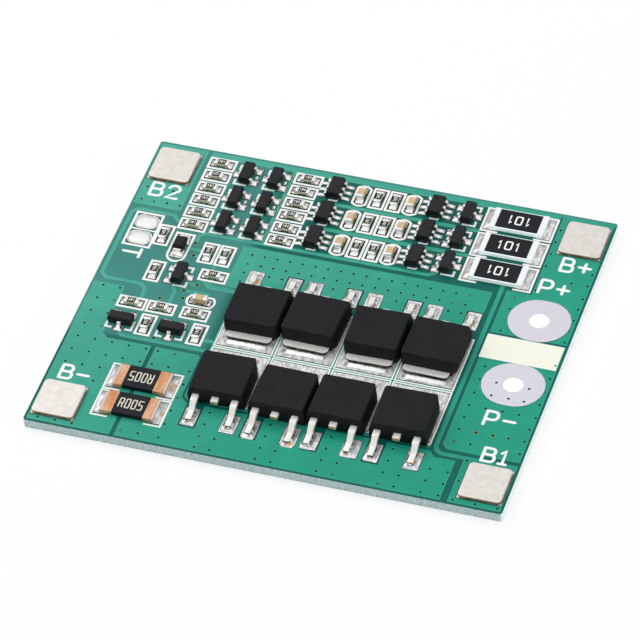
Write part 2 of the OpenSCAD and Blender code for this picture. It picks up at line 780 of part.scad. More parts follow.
board_core();
solder_mask();
masked_copper();
bare_pads();
silkscreen();
via_rings();
p_plus_ring();
p_minus_ring();
cell_tab(tab_spots[0]);  // tab_b_minus
cell_tab(tab_spots[1]);  // tab_b1
cell_tab(tab_spots[2]);  // tab_b2
cell_tab(tab_spots[3]);  // tab_b_plus
mosfet_body(0);  // mosfet_body_1
mosfet_body(1);  // mosfet_body_2
mosfet_body(2);  // mosfet_body_3
mosfet_body(3);  // mosfet_body_4
mosfet_body(4);  // mosfet_body_5
mosfet_body(5);  // mosfet_body_6
mosfet_body(6);  // mosfet_body_7
mosfet_body(7);  // mosfet_body_8
mosfet_legs(0);  // mosfet_legs_1
mosfet_legs(1);  // mosfet_legs_2
mosfet_legs(2);  // mosfet_legs_3
mosfet_legs(3);  // mosfet_legs_4
mosfet_legs(4);  // mosfet_legs_5
mosfet_legs(5);  // mosfet_legs_6
mosfet_legs(6);  // mosfet_legs_7
mosfet_legs(7);  // mosfet_legs_8
bleed_ceramics();
bleed_coats();
bleed_terminals();
shunt_bodies();
shunt_terminals();
protection_ic(0);  // protection_ic_1
protection_ic(1);  // protection_ic_2
protection_ic(2);  // protection_ic_3
protection_ic_legs();
balance_ic(0);  // balance_ic_1
balance_ic(1);  // balance_ic_2
balance_ic(2);  // balance_ic_3
balance_ic_legs();
sense_transistors();
sense_transistor_legs();
shift_transistors();
shift_transistor_legs();
bleed_transistors();
bleed_transistor_legs();
driver_transistors();
driver_transistor_legs();
diode_body();
diode_legs();
resistor_ceramics();
resistor_coats();
resistor_terminals();
capacitor_bodies();
capacitor_terminals();
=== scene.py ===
"""Looks of a populated battery management board: finishes, solder, lettering, stage and camera."""

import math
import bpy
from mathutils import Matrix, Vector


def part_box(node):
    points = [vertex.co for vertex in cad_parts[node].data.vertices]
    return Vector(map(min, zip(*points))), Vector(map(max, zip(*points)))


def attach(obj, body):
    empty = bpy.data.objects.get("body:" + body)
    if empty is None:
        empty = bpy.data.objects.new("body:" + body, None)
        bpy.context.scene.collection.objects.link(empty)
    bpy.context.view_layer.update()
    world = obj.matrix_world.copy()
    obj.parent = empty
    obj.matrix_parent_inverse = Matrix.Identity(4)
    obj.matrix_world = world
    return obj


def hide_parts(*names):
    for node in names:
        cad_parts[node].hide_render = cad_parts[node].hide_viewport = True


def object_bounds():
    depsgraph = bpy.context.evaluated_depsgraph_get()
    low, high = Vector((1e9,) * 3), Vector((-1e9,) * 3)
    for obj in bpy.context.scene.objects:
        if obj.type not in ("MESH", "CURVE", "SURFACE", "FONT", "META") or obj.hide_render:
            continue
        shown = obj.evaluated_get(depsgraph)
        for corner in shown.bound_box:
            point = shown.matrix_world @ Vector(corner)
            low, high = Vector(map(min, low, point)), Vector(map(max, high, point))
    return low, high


bl_info = {
    "name": "Battery Management Board",
    "version": (1, 0, 0),
    "blender": (4, 5, 0),
    "location": "3D View > Sidebar > Board",
    "description": "Finishes, solder joints and lettering round the CAD model of a battery management board",
    "category": "Object",
}

from random import Random

import bmesh
import bpy
from bpy.props import FloatProperty, FloatVectorProperty, IntProperty, PointerProperty
from mathutils import Matrix, Vector

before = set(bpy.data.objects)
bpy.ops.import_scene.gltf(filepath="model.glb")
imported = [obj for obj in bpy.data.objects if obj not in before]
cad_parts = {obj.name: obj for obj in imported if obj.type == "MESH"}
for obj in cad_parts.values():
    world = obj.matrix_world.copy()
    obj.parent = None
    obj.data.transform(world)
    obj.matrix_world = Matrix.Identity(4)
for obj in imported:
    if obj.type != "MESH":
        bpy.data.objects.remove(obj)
cad_low, cad_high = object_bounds()

MM = 0.001
MERGE = 1e-4
UP = Vector((0, 0, 1))

# Places on the board, in millimetres
CORNER_EDGE_X = (-10.6, -12.6)
CORNER_EDGE_Y = (-9.0, -7.4)
BACK_EDGE_Y = (22.2, 22.6)
STRIPE_MIDDLE_Y = 0.84
STRIPE_HALF_WIDTH = 1.7
STRIPE_LEFT_X = 17.8
T_LABEL = (-25.85, 5.6)
T_LABEL_SIZE = (1.6, 2.35)

# Radii of a weld tab's plan corners and of its rolled rim, in millimetres
TAB_CORNER = 0.55
TAB_RIM = 0.13

# Solder, in millimetres: length and width over the board, then height, or how far it passes a toe
CHIP_FILLET = (0.44, 0.9)
BLEED_FILLET = ((0.74, 3.15), 0.42)
SHUNT_FILLET = ((0.74, 3.15), 0.34)
DRAIN_FILLET = ((0.6, 5.1), 0.13)
FOOT_SKIRT = ((2.2, 1.45), 0.34)
THREE_LEG_PILLOW = ((0.84, 0.86), 0.36)
SIX_LEG_PILLOW = ((0.86, 0.5), 0.46)
DIODE_PILLOW = ((0.95, 1.25), 0.36)

# Codes of the small chips and the shunts, in millimetres: advance, width and height of a glyph
SMALL_CODE = (0.27, 0.2, 0.44)
SHUNT_CODE = (0.74, 0.58, 1.45)
SHUNT_STROKE = 0.145

# Code of a bleed resistor, in millimetres: each glyph with its middle and width, and their height
BLEED_CODE = (("1", -1.02, 0.5), ("box0", 0, 0.9), ("1", 1.02, 0.5))
BLEED_CODE_HEIGHT = 1.4

# How high the mask's pieces lie over the copper, in millimetres
SHOULDER_FOOT = 0.0005
SHOULDER_LIFT = 0.012
VIA_CAP_DEPTH = 0.012

# Radius of the tin beads in millimetres, and the share of the vias that have one
BEAD_RADIUS = 0.055
BEAD_SHARE = 0.14

# Sizes by which the steps know a via or a pad, in millimetres
VIA_RADII = (("masked_copper", 0.15), ("p_minus_ring", 0.14), ("via_rings", 0.16))
VIA_SPAN_TOLERANCE = 0.05
CHIP_PAD_SPAN = (0.8, 0.97)
PROBE_PAD_X = (2.6, 3.0)
PROBE_PAD_Y = (2.0, 2.4)


def tone(red, green, blue):
    """Linear colour of an 8-bit display colour."""
    def linear(value):
        share = value / 255
        return share / 12.92 if share <= 0.04045 else ((share + 0.055) / 1.055) ** 2.4
    return (linear(red), linear(green), linear(blue))


def colour(name, description, default):
    return FloatVectorProperty(name=name, description=description, subtype="COLOR", size=3, min=0, max=1,
                               default=default)


def length(name, description, default, low=0.0, high=0.1):
    return FloatProperty(name=name, description=description, subtype="DISTANCE", unit="LENGTH", precision=6,
                         min=low, max=high, default=default)


# Colours that the finishes mix in beside those of the settings
GLASS_SHADE = tone(150, 172, 172)
GLASS_CRUMB = tone(236, 246, 246)
# Painted light: the right-hand cut edge is painted almost white, as if lit strongly from the right.
RIGHT_EDGE_PAINTED_LIGHT = tone(246, 255, 255)
# Painted light: the barrel wall inside each ring's hole is painted white and glows, standing in for the pale
# floor seen through the hole.
RING_BARREL_PAINTED_GLOW = tone(250, 250, 250)
BARE_VIA = tone(104, 152, 108)
TIN_BEAD = tone(240, 244, 242)
STRIPE_INK = tone(248, 249, 232)
SHUNT_INK = tone(222, 218, 202)
# Painted shade: the lowest part of a weld tab's side, where the tab meets its pad.
TAB_FOOT_PAINTED_SHADE = tone(52, 38, 24)
# Painted light: a faint glow given to the white alumina, which is no lamp.
ALUMINA_GLOW = tone(226, 246, 246)
MATT_END = tone(246, 246, 248)
WORN_COPPER = tone(222, 178, 146)
SHUNT_TIP = tone(206, 200, 196)
DULL_SOLDER = tone(188, 186, 194)
PROBE_SOLDER = (0.93, 0.93, 0.94)


# Settings

class LaminateLook(bpy.types.PropertyGroup):
    """Colours of the laminate and its green mask."""
    # The mask over copper runs from deep at the front right to bright at the back left: the difference is a
    # painted sheen, where the glossy mask would catch the light.
    copper_painted_sheen: colour("Mask over copper, back left", "Mask over copper where it shines most",
                          tone(75, 170, 151))
    copper_deep: colour("Mask over copper, front right", "Mask over copper where it shines least",
                        tone(34, 155, 129))
    # Mask over laminate in the control corner and along the back edge: partly a paler colour and partly
    # painted sheen.
    gap_pale_and_sheen: colour("Mask over laminate, control corner", "Mask over thin bare laminate",
                     tone(63, 138, 130))
    gap_deep: colour("Mask over laminate, gaps", "Mask over the narrow gaps between copper fields",
                     tone(6, 99, 89))
    # The shoulder colours differ by the same painted sheen as the mask over copper, lighter at the back left.
    shoulder_painted_sheen: colour("Copper border, back left", "Mask on the shoulder of the copper",
                            tone(98, 188, 165))
    shoulder_deep: colour("Copper border, front right", "Mask on the shoulder of the copper",
                          tone(52, 172, 144))
    # The dark rim round each pad is partly the bare gap in the mask and partly painted shade.
    opening: colour("Mask opening", "Dark gap round a pad", tone(20, 34, 28))
    via_cap: colour("Via cap", "Mask that caps a via", tone(4, 38, 32))
    cut_edge: colour("Cut edge", "Glass and resin where the board was cut", tone(206, 228, 228))
    tooth: length("Cut edge tooth", "Depth of the roughness along the cut edge", 0.03 * MM)


class MetalLook(bpy.types.PropertyGroup):
    """Colours of solder, plating and bare metal."""
    solder: colour("Solder", "Bright reflowed solder", (0.93, 0.93, 0.94))
    plating: colour("Tinned pad", "Levelled tin on open pads", (0.86, 0.87, 0.87))
    ring: colour("Tinned ring", "Levelled tin on the output rings", tone(222, 221, 229))
    nickel: colour("Weld tab top", "Rolled nickel", tone(230, 224, 219))
    nickel_edge: colour("Weld tab edge", "Sheared and stained side of a weld tab", tone(198, 142, 74))
    leg: colour("Leg", "Tinned leadframe", tone(240, 238, 234))
    copper: colour("Shunt end", "Copper alloy end of a shunt", tone(200, 138, 90))
    flux: colour("Flux", "Burnt flux left round a joint", tone(118, 88, 36))
    amber: colour("Amber flux", "Clear flux that has pooled against a tab", tone(214, 150, 44))
    # Painted shade: the low side of a leg or tab is given this dark colour; the fluxed solder also uses it
    # for dark patches.
    flank: colour("Metal flank", "Low side of a leg or tab, in the shade of its joint", tone(44, 37, 30))
    sheared: colour("Sheared copper", "Cut end of a middle leg", tone(190, 172, 130))


class PartLook(bpy.types.PropertyGroup):
    """Colours of mouldings, ceramics and print."""
    mould: colour("Power moulding", "Filled epoxy of the power transistors", tone(25, 24, 29))
    small_mould: colour("Small moulding", "Epoxy of the small packages", tone(25, 25, 29))
    coat: colour("Resistor coat", "Black overglaze", tone(18, 20, 27))
    alumina: colour("White ceramic", "Alumina of the large chips", tone(238, 243, 244))
    chip_ceramic: colour("Chip ceramic", "Alumina of the small chips", tone(206, 203, 172))
    capacitor: colour("Capacitor", "Tan dielectric", tone(214, 182, 140))
    ink: colour("Ink", "Printed lines and letters", tone(253, 253, 251))
    value_ink: colour("Value code", "Printed code of a small chip", tone(232, 232, 226))


class JointSizes(bpy.types.PropertyGroup):
    """Sizes of solder joints and softened edges."""
    chip_height: length("Chip joint height", "Height of the solder against a small chip", 0.3 * MM)
    leg_height: length("Leg joint height", "Height of the solder round a small leg", 0.15 * MM)
    probe_height: length("Probe dome height", "Height of the solder on the two probe pads", 0.12 * MM)
    soft_edge: length("Moulding edge", "Radius left on a moulding's edges", 0.05 * MM)
    metal_edge: length("Metal edge", "Radius left on a stamped metal edge", 0.035 * MM)
    opening_rim: length("Mask opening rim", "Width of the dark gap round a small chip's pad", 0.14 * MM)
    broad_rim: length("Broad opening rim", "Width of the dark gap round any other pad", 0.08 * MM)
    shoulder: length("Copper shoulder", "Width of the slope over a copper edge", 0.07 * MM)
    seed: IntProperty(name="Seed", description="Seed of the uneven solder", default=7, min=0)


class LetterSizes(bpy.types.PropertyGroup):
    """Sizes of the lettering."""
    label_stroke: length("Label stroke", "Line width of the terminal labels", 0.35 * MM)
    code_stroke: length("Value stroke", "Line width of the large chips' codes", 0.19 * MM)
    small_stroke: length("Small value stroke", "Line width of the small chips' codes", 0.08 * MM)
    ink_depth: length("Ink depth", "Height of a printed line", 0.015 * MM)


class StageSettings(bpy.types.PropertyGroup):
    """Light, floor and camera."""
    world_light: FloatProperty(name="Room light", description="Strength of the room's soft light",
                               default=1.05, min=0, max=2)
    key_power: FloatProperty(name="Key light", description="Power of the softbox at the back left",
                             subtype="POWER", default=1.1, min=0, max=100)
    side_power: FloatProperty(name="Side light", description="Power of the low softbox at the right",
                              subtype="POWER", default=0.8, min=0, max=100)
    floor: colour("Floor", "Plain pale floor", tone(250, 250, 250))
    lens: FloatProperty(name="Lens", description="Focal length", subtype="DISTANCE_CAMERA", default=277.08,
                        min=50, max=600)


SETTINGS = (("laminate", LaminateLook), ("metal", MetalLook), ("part", PartLook), ("joint", JointSizes),
            ("letter", LetterSizes), ("stage", StageSettings))


def settings(context, group):
    return getattr(context.scene, "board_" + group)


# Materials

class Finish:
    """A node material round one Principled shader, read in object coordinates."""

    def __init__(self, name, **sockets):
        self.material = bpy.data.materials.new(name)
        self.material.use_nodes = True
        self.nodes = self.material.node_tree.nodes
        self.links = self.material.node_tree.links
        self.shader = self.nodes["Principled BSDF"]
        self.place = self.nodes.new("ShaderNodeTexCoord").outputs["Object"]
        self.paint(**sockets)

    def feed(self, node, socket, value):
        """Links an output to a socket, or sets the socket's own value."""
        target = node.inputs[socket]
        if isinstance(value, bpy.types.NodeSocket):
            self.links.new(value, target)
        elif target.type == "RGBA":
            target.default_value = (*value[:3], 1)
        else:
            target.default_value = value

    def node(self, kind, inputs, **attributes):
        made = self.nodes.new("ShaderNode" + kind)
        for name, value in attributes.items():
            setattr(made, name, value)
        for socket, value in inputs.items():
            self.feed(made, socket, value)
        return made

    def noise(self, per_mm, detail=3.0, stretch=None):
        """Cloudy value with that many features to a millimetre."""
        place = self.place
        if stretch:
            place = self.node("Mapping", {"Vector": place, "Scale": stretch}).outputs[0]
        return self.node("TexNoise", {"Vector": place, "Scale": per_mm / MM, "Detail": detail}).outputs["Fac"]

    def axis(self, name):
        return self.node("SeparateXYZ", {"Vector": self.place}).outputs[name]

    def math(self, operation, first, second=0.0, clamp=False):
        made = self.node("Math", {}, operation=operation, use_clamp=clamp)
        self.feed(made, 0, first)
        self.feed(made, 1, second)
        return made.outputs[0]

    def between(self, value, low, high, first=0.0, last=1.0):
        """Value carried smoothly from first, at low, to last, at high."""
        made = self.node("MapRange", {"Value": value, "From Min": low, "From Max": high, "To Min": first,
                                      "To Max": last}, interpolation_type="SMOOTHSTEP")
        return made.outputs["Result"]

    def mix(self, share, first, second, blend="MIX"):
        made = self.nodes.new("ShaderNodeMix")
        made.data_type = "RGBA"
        made.blend_type = blend
        names = [s.identifier for s in made.inputs]
        for socket, value in (("Factor_Float", share), ("A_Color", first), ("B_Color", second)):
            self.feed(made, names.index(socket), value)
        return next(s for s in made.outputs if s.identifier == "Result_Color")

    def grey(self, value):
        return self.node("CombineColor", {0: value, 1: value, 2: value}).outputs[0]

    def clouds(self, per_mm, low, high, detail=3.0):
        """Value that wanders from low to high, with that many clouds to a millimetre."""
        return self.between(self.noise(per_mm, detail), 0.3, 0.7, low, high)

    def shade(self, base, amount, per_mm, detail=3.0):
        """Base colour made lighter and darker in clouds."""
        cloud = self.clouds(per_mm, 1 - amount, 1 + amount, detail)
        return self.mix(1.0, base, self.grey(cloud), "MULTIPLY")

    def paint(self, **sockets):
        for socket, value in sockets.items():
            self.feed(self.shader, socket.replace("_", " ").title().replace("Ior", "IOR"), value)
        return self

    def bump(self, height, depth):
        """Surface relief of that depth in metres."""
        made = self.node("Bump", {"Height": height, "Distance": depth, "Strength": 1.0})
        if self.shader.inputs["Normal"].is_linked:
            self.links.new(self.shader.inputs["Normal"].links[0].from_socket, made.inputs["Normal"])
        self.links.new(made.outputs[0], self.shader.inputs["Normal"])
        return self


def cloudy(name, base, amount, per_mm, **sockets):
    """A finish whose base colour is shaded in clouds and whose other values are plain."""
    finish = Finish(name, **sockets)
    return finish.paint(base_color=finish.shade(base, amount, per_mm))


def dress(item, finish):
    """Gives a piece or a CAD node one material."""
    item.data.materials.clear()
    item.data.materials.append(finish.material)


def dress_nodes(finish, *names):
    for name in names:
        dress(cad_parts[name], finish)


def nodes_named(start, end=""):
    return sorted(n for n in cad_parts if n.startswith(start) and n.endswith(end))


# Meshes

def copy_node(name):
    """A CAD node's mesh, merged and in millimetres, in a new bmesh."""
    bm = bmesh.new()
    bm.from_mesh(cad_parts[name].data)
    bmesh.ops.scale(bm, vec=Vector((1, 1, 1)) / MM, verts=bm.verts)
    bmesh.ops.remove_doubles(bm, verts=bm.verts, dist=MERGE)
    return bm


def box(name):
    """Lowest and highest corner of a CAD node in millimetres."""
    low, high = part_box(name)
    return low / MM, high / MM


def middle(corners):
    return (corners[0] + corners[1]) / 2


def patches(bm):
    """Faces of a bmesh gathered in connected patches."""
    waiting = set(bm.faces)
    while waiting:
        patch = [waiting.pop()]
        for face in patch:
            for edge in face.edges:
                for other in edge.link_faces:
                    if other in waiting:
                        waiting.discard(other)
                        patch.append(other)
        yield patch


def span(patch):
    """Lowest and highest corner of a patch of faces."""
    spots = [vert.co for face in patch for vert in face.verts]
    return Vector(map(min, zip(*spots))), Vector(map(max, zip(*spots)))


def in_order(boxes):
    """Boxes sorted by place, so that the random draws fall alike in every run."""
    return sorted(boxes, key=lambda box: (round(box[0].y, 6), round(box[0].x, 6), round(box[0].z, 6)))


def islands(name):
    """Lowest and highest corner of every solid in a CAD node, in millimetres."""
    bm = copy_node(name)
    boxes = [span(patch) for patch in patches(bm)]
    bm.free()
    return in_order(boxes)


def link(bm, name):
    """Turns a bmesh into an object of the scene."""
    mesh = bpy.data.meshes.new(name)
    bm.to_mesh(mesh)
    bm.free()
    item = bpy.data.objects.new(name, mesh)
    bpy.context.scene.collection.objects.link(item)
    return item


def finish_piece(bm, name, finish, smooth=True):
    """Turns a bmesh in millimetres into a piece of the board."""
    bmesh.ops.scale(bm, vec=Vector((MM, MM, MM)), verts=bm.verts)
    piece = link(bm, name)
    for polygon in piece.data.polygons:
        polygon.use_smooth = smooth
    dress(piece, finish)
    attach(piece, "root")
    return piece


def stand_in(bm, node, finish):
    """Turns a bmesh in millimetres into the piece that takes a CAD node's place."""
    piece = finish_piece(bm, node + "_finished", finish)
    piece.modifiers.new("Flat faces", "WEIGHTED_NORMAL")
    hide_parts(node)
    return piece


def soften(node, finish, radius):
    """Stands in for a CAD node with the same solid, its sharp edges rounded."""
    bm = copy_node(node)
    bmesh.ops.dissolve_limit(bm, angle_limit=math.radians(1), verts=bm.verts, edges=bm.edges)
    sharp = [e for e in bm.edges if e.calc_face_angle(0) > math.radians(25)]
    bmesh.ops.bevel(bm, geom=sharp, offset=radius / MM, segments=2, profile=0.5, affect="EDGES",
                    clamp_overlap=True, material=-1)
    return stand_in(bm, node, finish)


def soften_all(names, finish, radius):
    for node in names:
        soften(node, finish, radius)


class Lump:
    """Many solder joints in one bmesh, each a subdivided cube pressed to shape."""

    CUTS = 5
    FLOOR = 0.008
    CORE = 0.45

    def __init__(self, seed):
        self.bm = bmesh.new()
        self.random = Random(seed)
        unit = bmesh.new()
        bmesh.ops.create_cube(unit, size=1)
        bmesh.ops.subdivide_edges(unit, edges=unit.edges, cuts=self.CUTS, use_grid_fill=True)
        self.unit = bpy.data.meshes.new("solder unit")
        unit.to_mesh(self.unit)
        unit.free()

    def corners(self):
        """Adds a cube and gives its corners with their places: -1 to 1 over the plan, 0 to 1 up."""
        count = len(self.bm.verts)
        self.bm.from_mesh(self.unit)
        self.bm.verts.ensure_lookup_table()
        for vert in self.bm.verts[count:]:
            yield vert, 2 * vert.co.x, 2 * vert.co.y, vert.co.z + 0.5

    def press(self, place, size, height, power, crown, flare=0.0):
        """One joint on the place's XY plane, high at -X and drawn out to +X over size.

        power sets how hollow the slope is, crown how flat it is across, flare how narrow its high end is.
        """
        uneven = self.random.uniform(0.85, 1.15)
        lean = self.random.uniform(-0.12, 0.12)
        for vert, r, s, w in self.corners():
            u = (r + 1) / 2
            slope = (1 - u) ** power
            across = max(0.0, 1 - abs(s + lean * (1 - s * s)) ** crown)
            top = height * uneven * slope * across + 0.01
            vert.co = place @ Vector((u * size[0], s * size[1] / 2 * (1 - flare * (1 - u)), w * top))

    def skirt(self, place, size, height):
        """Hollow slopes all round a foot that hides the core of the plan."""
        uneven = self.random.uniform(0.85, 1.1)
        lean = Vector((self.random.uniform(-0.08, 0.08), self.random.uniform(-0.08, 0.08)))
        for vert, u, s, w in self.corners():
            out = (abs(u) ** 5 + abs(s) ** 5) ** 0.2
            rise = max(0.0, min(1.0, (1 - out) / (1 - self.CORE))) ** 1.5 * (1 + lean.x * u + lean.y * s)
            shrink = 1 / max(1.0, (abs(u) ** 9 + abs(s) ** 9) ** (1 / 9))
            vert.co = place @ Vector((u * shrink * size[0] / 2, s * shrink * size[1] / 2,
                                      w * (height * uneven * rise + self.FLOOR)))

    def dome(self, place, size, height, plan):
        """A pillow of solder that fills a pad, centred on the place; plan rounds its corners."""
        uneven = self.random.uniform(0.85, 1.15)
        for vert, u, s, w in self.corners():
            x = u * math.sqrt(1 - plan * s * s)
            y = s * math.sqrt(1 - plan * u * u)
            swell = max(0.0, (1 - abs(u) ** 4) * (1 - abs(s) ** 4)) ** 0.6
            vert.co = place @ Vector((x * size[0] / 2, y * size[1] / 2,
                                      w * (height * uneven * swell + self.FLOOR)))

    def done(self, name, finish, slot):
        bpy.data.meshes.remove(self.unit)
        return finish_piece(self.bm, name, finish)


def on_top(low, high, angle):
    """Place in the middle of a part's top, turned by the angle."""
    top = Vector(((low.x + high.x) / 2, (low.y + high.y) / 2, high.z))
    return Matrix.Translation(top) @ Matrix.Rotation(angle, 4, "Z")


def nearest(points, at):
    return min(points, key=lambda point: (point - at).length)


def toe(low, high, core, along, level):
    """Which way an end points from its part, and the middle of its outer edge at that level."""
    at = middle((low, high))
    outward = along * math.copysign(1, (at - core).dot(along))
    at.z = level
    return outward, at + outward * ((high - low).dot(along) / 2)


def pose_at(point, outward):
    """Place whose X axis points outward along the board and whose origin is the point."""
    across = UP.cross(outward)
    turn = Matrix((outward, across, UP)).transposed().to_4x4()
    return Matrix.Translation(point) @ turn


def pad_height():
    return box("bare_pads")[1].z


# Lettering

def arc(x, y, rx, ry, start, end, steps=8):
    return [(x + rx * math.cos(math.radians(start + (end - start) * i / steps)),
             y + ry * math.sin(math.radians(start + (end - start) * i / steps))) for i in range(steps + 1)]


def loop(points):
    return points + points[:1]


# Each glyph is drawn by strokes in a cell of width and height 1
GLYPHS = {
    "B": [[(0, 0), (0, 1)], [(0, 1), (0.62, 1)] + arc(0.62, 0.76, 0.3, 0.24, 90, -90) + [(0, 0.52)],
          [(0, 0), (0.7, 0)] + arc(0.7, 0.26, 0.3, 0.26, -90, 90)],
    "P": [[(0, 0), (0, 1)], [(0, 1), (0.62, 1)] + arc(0.62, 0.7, 0.38, 0.3, 90, -90) + [(0, 0.4)]],
    "T": [[(0, 1), (1, 1)], [(0.5, 1), (0.5, 0)]],
    "+": [[(0, 0.5), (1, 0.5)], [(0.5, 0), (0.5, 1)]],
    "-": [[(0, 0.5), (1, 0.5)]],
    "0": [loop(arc(0.5, 0.5, 0.5, 0.5, 0, 337.5, 15))],
    "box0": [loop([(0, 0.12), (0, 0.88), (0.12, 1), (0.88, 1), (1, 0.88), (1, 0.12), (0.88, 0), (0.12, 0)])],
    "1": [[(0, 0.8), (0.6, 1), (0.6, 0)]],
    "boxR": [[(0, 0), (0, 0.88), (0.12, 1), (0.88, 1), (1, 0.88), (1, 0.46)], [(1, 0.46), (0, 0.46)],
             [(0.72, 0.46), (1, 0)]],
    "box5": [[(0.98, 1), (0, 1), (0, 0.54), (0.88, 0.54), (1, 0.44), (1, 0.12), (0.88, 0), (0, 0)]],
    "1 foot": [[(0.1, 0.8), (0.55, 1), (0.55, 0)], [(0.05, 0), (1, 0)]],
    "2": [arc(0.5, 0.72, 0.48, 0.28, 170, -20, 9) + [(0, 0), (1, 0)]],
    "3": [arc(0.45, 0.76, 0.45, 0.24, 150, -80) + arc(0.45, 0.27, 0.5, 0.27, 80, -150)],
    "4": [[(0.75, 0), (0.75, 1)], [(0.75, 1), (0, 0.3), (1, 0.3)]],
}


class Lettering:
    """Rounded strokes of ink gathered in one bmesh, each on one of three levels so that none coincide."""

    STEP = 0.001

    def __init__(self, stroke, depth):
        self.bm = bmesh.new()
        self.stroke = stroke
        self.depth = depth
        self.strokes = 0

    def glyph(self, name, place, width, height):
        """Draws a glyph whose ink fills width by height from the place's origin."""
        half = self.stroke / 2
        for points in GLYPHS[name]:
            line = [Vector((half + x * (width - self.stroke), half + y * (height - self.stroke), 0))
                    for x, y in points]
            self.bar(line, place)

    def bar(self, line, place):
        """A mitred ribbon of ink along a line, with round ends unless it closes."""
        line = [p for p, before in zip(line, [None] + line) if before is None or (p - before).length > MERGE]
        closed = (line[0] - line[-1]).length < MERGE
        ways = [(q - p).normalized() for p, q in zip(line, line[1:])]
        half = self.stroke / 2
        stations = []
        for i, point in enumerate(line):
            before = ways[i - 1] if i > 0 or closed else ways[0]
            after = ways[i] if i < len(ways) else ways[0] if closed else ways[-1]
            normal = UP.cross(before) + UP.cross(after)
            stations.append((point, normal * (half / max(1 + before.dot(after), 0.6))))
        if not closed:
            bend = [math.radians(angle) for angle in (84, 60, 35)]
            tail = [(line[0] - ways[0] * half * math.sin(t), UP.cross(ways[0]) * half * math.cos(t))
                    for t in bend]
            head = [(line[-1] + ways[-1] * half * math.sin(t), UP.cross(ways[-1]) * half * math.cos(t))
                    for t in reversed(bend)]
            stations = tail + stations + head
        count = len(self.bm.verts)
        bmesh.ops.create_grid(self.bm, x_segments=len(stations) - 1, y_segments=1, size=1)
        self.bm.verts.ensure_lookup_table()
        for vert in self.bm.verts[count:]:
            point, side = stations[round((vert.co.x + 1) / 2 * (len(stations) - 1))]
            vert.co = point + side * math.copysign(1, vert.co.y)
        fresh = self.bm.verts[count:]
        faces = list({face for vert in fresh for face in vert.link_faces})
        raised = bmesh.ops.extrude_face_region(self.bm, geom=faces, use_keep_orig=True)
        self.strokes += 1
        level = self.depth + self.STEP * (self.strokes % 3)
        tops = [item for item in raised["geom"] if isinstance(item, bmesh.types.BMVert)]
        bmesh.ops.translate(self.bm, vec=(0, 0, level), verts=tops)
        self.bm.verts.ensure_lookup_table()
        bmesh.ops.transform(self.bm, matrix=place, verts=self.bm.verts[count:])

    def word(self, glyphs, place, advance, width, height):
        """Glyphs side by side, centred on the place's origin."""
        whole = advance * (len(glyphs) - 1) + width
        for i, name in enumerate(glyphs):
            corner = Matrix.Translation((-whole / 2 + i * advance, -height / 2, 0))
            self.glyph(name, place @ corner, width, height)

    def done(self, name, finish, slot):
        bmesh.ops.recalc_face_normals(self.bm, faces=self.bm.faces)
        return finish_piece(self.bm, name, finish, smooth=False)


# Ink boxes of the terminal labels in millimetres: glyph, low X, high X, low Y, high Y
TERMINAL_LABELS = (
    ("B", -26.15, -24.4, 14.05, 16.45), ("2", -24.15, -22.45, 14.05, 16.45),
    ("B", 22.95, 24.65, 14.0, 16.4), ("+", 24.97, 26.62, 14.38, 16.03),
    ("P", 21.55, 23.25, 10.1, 12.5), ("+", 23.57, 25.22, 10.43, 12.08),
    ("P", 21.5, 23.2, -10.9, -8.5), ("-", 23.6, 25.2, -9.85, -9.55),
    ("B", -26.1, -24.4, -16.1, -13.75), ("-", -24.1, -22.5, -15.15, -14.85),
    ("B", 22.85, 24.55, -16.15, -13.85), ("1 foot", 24.75, 25.95, -16.15, -13.85),
)


# Operators

class BoardOperator:
    """Shared options of the board's operators."""
    bl_options = {"REGISTER", "UNDO"}


